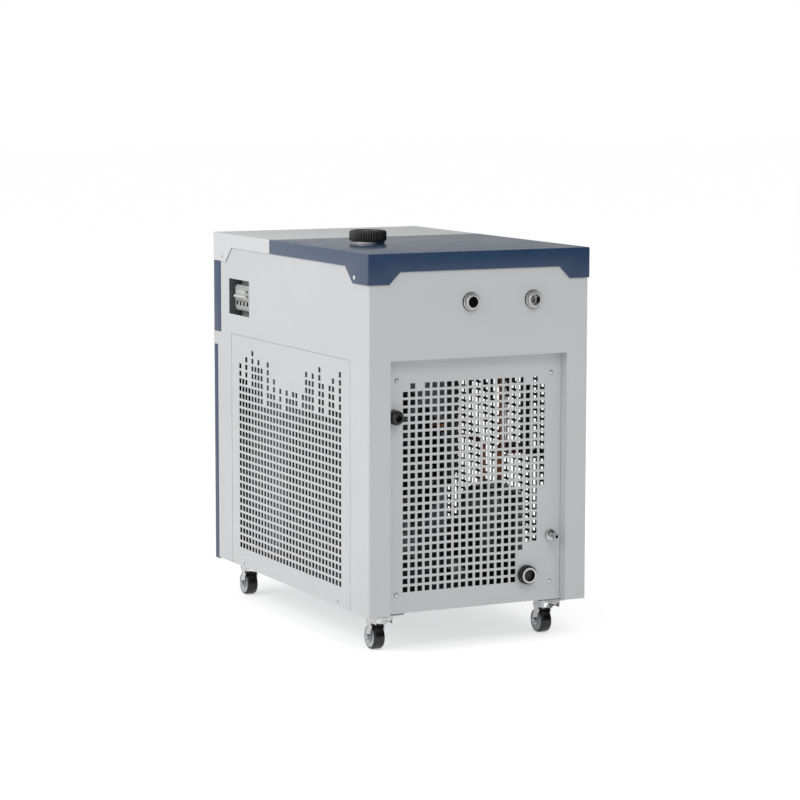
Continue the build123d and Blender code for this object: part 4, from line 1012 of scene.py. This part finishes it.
class CHILLER_OT_casters(Operator):
    """Plates, forks, axles, hubs and tyres"""
    bl_idname = "chiller.casters"
    bl_label = "Casters"

    def execute(self, context):
        dress("fork", "caster_plates")
        for number in range(1, 5):
            fork, wheel = f"fork_{number}", f"wheel_{number}"
            pressed = eased(f"caster_fork_{number}", "fork", 0.4 * MM, fork)
            hub = middle_of(f"caster_hub_{number}")
            open_leg(pressed, Vector((hub.x, hub.y + TRAIL, 0)))
            eased(f"caster_axle_{number}", "zinc", 0.4 * MM, fork)
            low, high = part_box(f"caster_tyre_{number}")
            centre = middle_of(f"caster_tyre_{number}")
            radius = (high.z - low.z) / 2
            half = (high.x - low.x) / 2
            rim = radius - 5 * MM
            tyre = bmesh.new()
            profile = rounded([(rim, -half), (radius - 2.4 * MM, -half),
                               (radius - 0.1 * MM, -half + 3.2 * MM), (radius, 0),
                               (radius - 0.1 * MM, half - 3.2 * MM), (radius - 2.4 * MM, half),
                               (rim, half)], 2.2 * MM)
            add_lathe(tyre, profile, centre, RIGHT, 72, closed=True)
            piece(f"caster_tyre_{number}_crowned", tyre, "tyre", wheel,
                  (f"caster_tyre_{number}",))
            eased(f"caster_hub_{number}", "hub", 0.3 * MM, wheel)
        return {"FINISHED"}


# Stage

def white_floor():
    """Pale floor that reads as white to the camera and keeps the shadow."""
    floor = bpy.data.materials.new("pale_floor")
    floor.use_nodes = True
    tree = floor.node_tree
    tree.nodes.clear()
    output = tree.nodes.new("ShaderNodeOutputMaterial")
    total = tree.nodes.new("ShaderNodeAddShader")
    matt = tree.nodes.new("ShaderNodeBsdfDiffuse")
    matt.inputs["Color"].default_value = (0.8, 0.8, 0.8, 1)
    glow = tree.nodes.new("ShaderNodeEmission")
    rays = tree.nodes.new("ShaderNodeLightPath")
    seen = tree.nodes.new("ShaderNodeMath")
    seen.operation = "MULTIPLY"
    seen.inputs[1].default_value = FLOOR_GLOW
    any_ray = tree.nodes.new("ShaderNodeMath")
    any_ray.operation = "MAXIMUM"
    tree.links.new(rays.outputs["Is Camera Ray"], any_ray.inputs[0])
    tree.links.new(rays.outputs["Is Glossy Ray"], any_ray.inputs[1])
    tree.links.new(any_ray.outputs[0], seen.inputs[0])
    tree.links.new(seen.outputs[0], glow.inputs["Strength"])
    tree.links.new(matt.outputs[0], total.inputs[0])
    tree.links.new(glow.outputs[0], total.inputs[1])
    tree.links.new(total.outputs[0], output.inputs["Surface"])
    return floor


def white_world(sky):
    """White surroundings for the camera, uneven ones for reflections, a plain level of light."""
    world = bpy.data.worlds.new("white_studio")
    bpy.context.scene.world = world
    world.use_nodes = True
    tree = world.node_tree
    rays = tree.nodes.new("ShaderNodeLightPath")
    direction = tree.nodes.new("ShaderNodeTexCoord").outputs["Generated"]

    def made(kind, *sources, **settings):
        node = tree.nodes.new(kind)
        for key, value in settings.items():
            setattr(node, key, value)
        for socket, source in zip(node.inputs, sources):
            if isinstance(source, bpy.types.NodeSocket):
                tree.links.new(source, socket)
            elif source is not None:
                socket.default_value = source
        return node

    lean = made("ShaderNodeVectorMath", direction, MIRROR_LEAN, operation="DOT_PRODUCT")
    mirror = made("ShaderNodeMath", lean.outputs["Value"], MIRROR_LEVEL, operation="ADD",
                  use_clamp=True)
    seen = made("ShaderNodeMath", rays.outputs["Is Camera Ray"],
                rays.outputs["Is Transmission Ray"], operation="MAXIMUM")
    shiny = made("ShaderNodeMix", rays.outputs["Is Glossy Ray"], data_type="FLOAT")
    shiny.inputs["A"].default_value = sky
    tree.links.new(mirror.outputs["Value"], shiny.inputs["B"])
    level = made("ShaderNodeMix", seen.outputs["Value"], data_type="FLOAT")
    tree.links.new(shiny.outputs["Result"], level.inputs["A"])
    level.inputs["B"].default_value = 1.0
    back = tree.nodes["Background"]
    back.inputs["Color"].default_value = (1, 1, 1, 1)
    tree.links.new(level.outputs["Result"], back.inputs["Strength"])


def lamp(name, place, aim, size, power):
    """Soft square lamp that shines from place to aim."""
    light = bpy.data.lights.new(name, "AREA")
    light.size = size
    light.energy = power
    obj = bpy.data.objects.new(name, light)
    bpy.context.scene.collection.objects.link(obj)
    obj.location = place
    obj.rotation_euler = (Vector(aim) - Vector(place)).to_track_quat("-Z", "Y").to_euler()


class CHILLER_OT_stage(Operator):
    """Floor, lamps, surroundings and camera"""
    bl_idname = "chiller.stage"
    bl_label = "Stage"

    def execute(self, context):
        s = context.scene.chiller_stage
        context.scene.view_settings.view_transform = "Standard"
        bm = bmesh.new()
        half = FLOOR_HALF
        corners = [(-half, -half, 0), (half, -half, 0), (half, half, 0), (-half, half, 0)]
        bm.faces.new([bm.verts.new(c) for c in corners])
        mesh = bpy.data.meshes.new("floor")
        bm.to_mesh(mesh)
        bm.free()
        floor = bpy.data.objects.new("floor", mesh)
        context.scene.collection.objects.link(floor)
        mesh.materials.append(white_floor())
        white_world(s.sky)
        lamp("key_lamp", (3.2, 0.2, 2.6), (0.1, 0.0, 0.45), 2.2, s.key)
        lamp("fill_lamp", (0.2, 3.2, 3.4), (0.0, 0.2, 0.45), 1.5, s.fill)
        camera = bpy.data.cameras.new("camera")
        camera.sensor_fit = "HORIZONTAL"
        camera.sensor_width = 36.0
        camera.lens = s.lens
        camera.clip_end = 100.0
        obj = bpy.data.objects.new("camera", camera)
        context.scene.collection.objects.link(obj)
        a, e, r = s.azimuth, s.elevation, s.roll
        back = Vector((math.sin(a) * math.cos(e), -math.cos(a) * math.cos(e), math.sin(e)))
        level = Vector((math.cos(a), math.sin(a), 0))
        upright = back.cross(level)
        across = level * math.cos(r) + upright * math.sin(r)
        matrix = Matrix((across, back.cross(across), back)).transposed().to_4x4()
        matrix.translation = s.place
        obj.matrix_world = matrix
        context.scene.camera = obj
        return {"FINISHED"}


class CHILLER_PT_pieces(Panel):
    """Lists the chiller's pieces"""
    bl_idname = "CHILLER_PT_pieces"
    bl_label = "Chiller"
    bl_space_type = "VIEW_3D"
    bl_region_type = "UI"
    bl_category = "Chiller"

    def draw(self, context):
        for group in ("chiller_colours", "chiller_panels", "chiller_trim", "chiller_stage"):
            box = self.layout.box()
            settings = getattr(context.scene, group)
            for name in settings.__annotations__:
                box.prop(settings, name)
        for operator in operators:
            self.layout.operator(operator.bl_idname)


groups = {"chiller_colours": ChillerColours, "chiller_panels": ChillerPanels,
          "chiller_trim": ChillerTrim, "chiller_stage": ChillerStage}
operators = [CHILLER_OT_stage, CHILLER_OT_cabinet, CHILLER_OT_covers, CHILLER_OT_side_grilles,
             CHILLER_OT_rear_grille, CHILLER_OT_front, CHILLER_OT_filler, CHILLER_OT_fittings,
             CHILLER_OT_screws, CHILLER_OT_breaker, CHILLER_OT_condenser, CHILLER_OT_fan,
             CHILLER_OT_circuits, CHILLER_OT_casters]
classes = [*groups.values(), *operators, CHILLER_PT_pieces]


def register():
    for cls in classes:
        bpy.utils.register_class(cls)
    for name, group in groups.items():
        setattr(bpy.types.Scene, name, PointerProperty(type=group))


def unregister():
    for name in groups:
        delattr(bpy.types.Scene, name)
    for cls in reversed(classes):
        bpy.utils.unregister_class(cls)


def main():
    register()
    make_finishes(bpy.context.scene.chiller_colours)
    for operator in operators:
        space, name = operator.bl_idname.split(".")
        getattr(getattr(bpy.ops, space), name)()


if __name__ == "__main__":
    main()
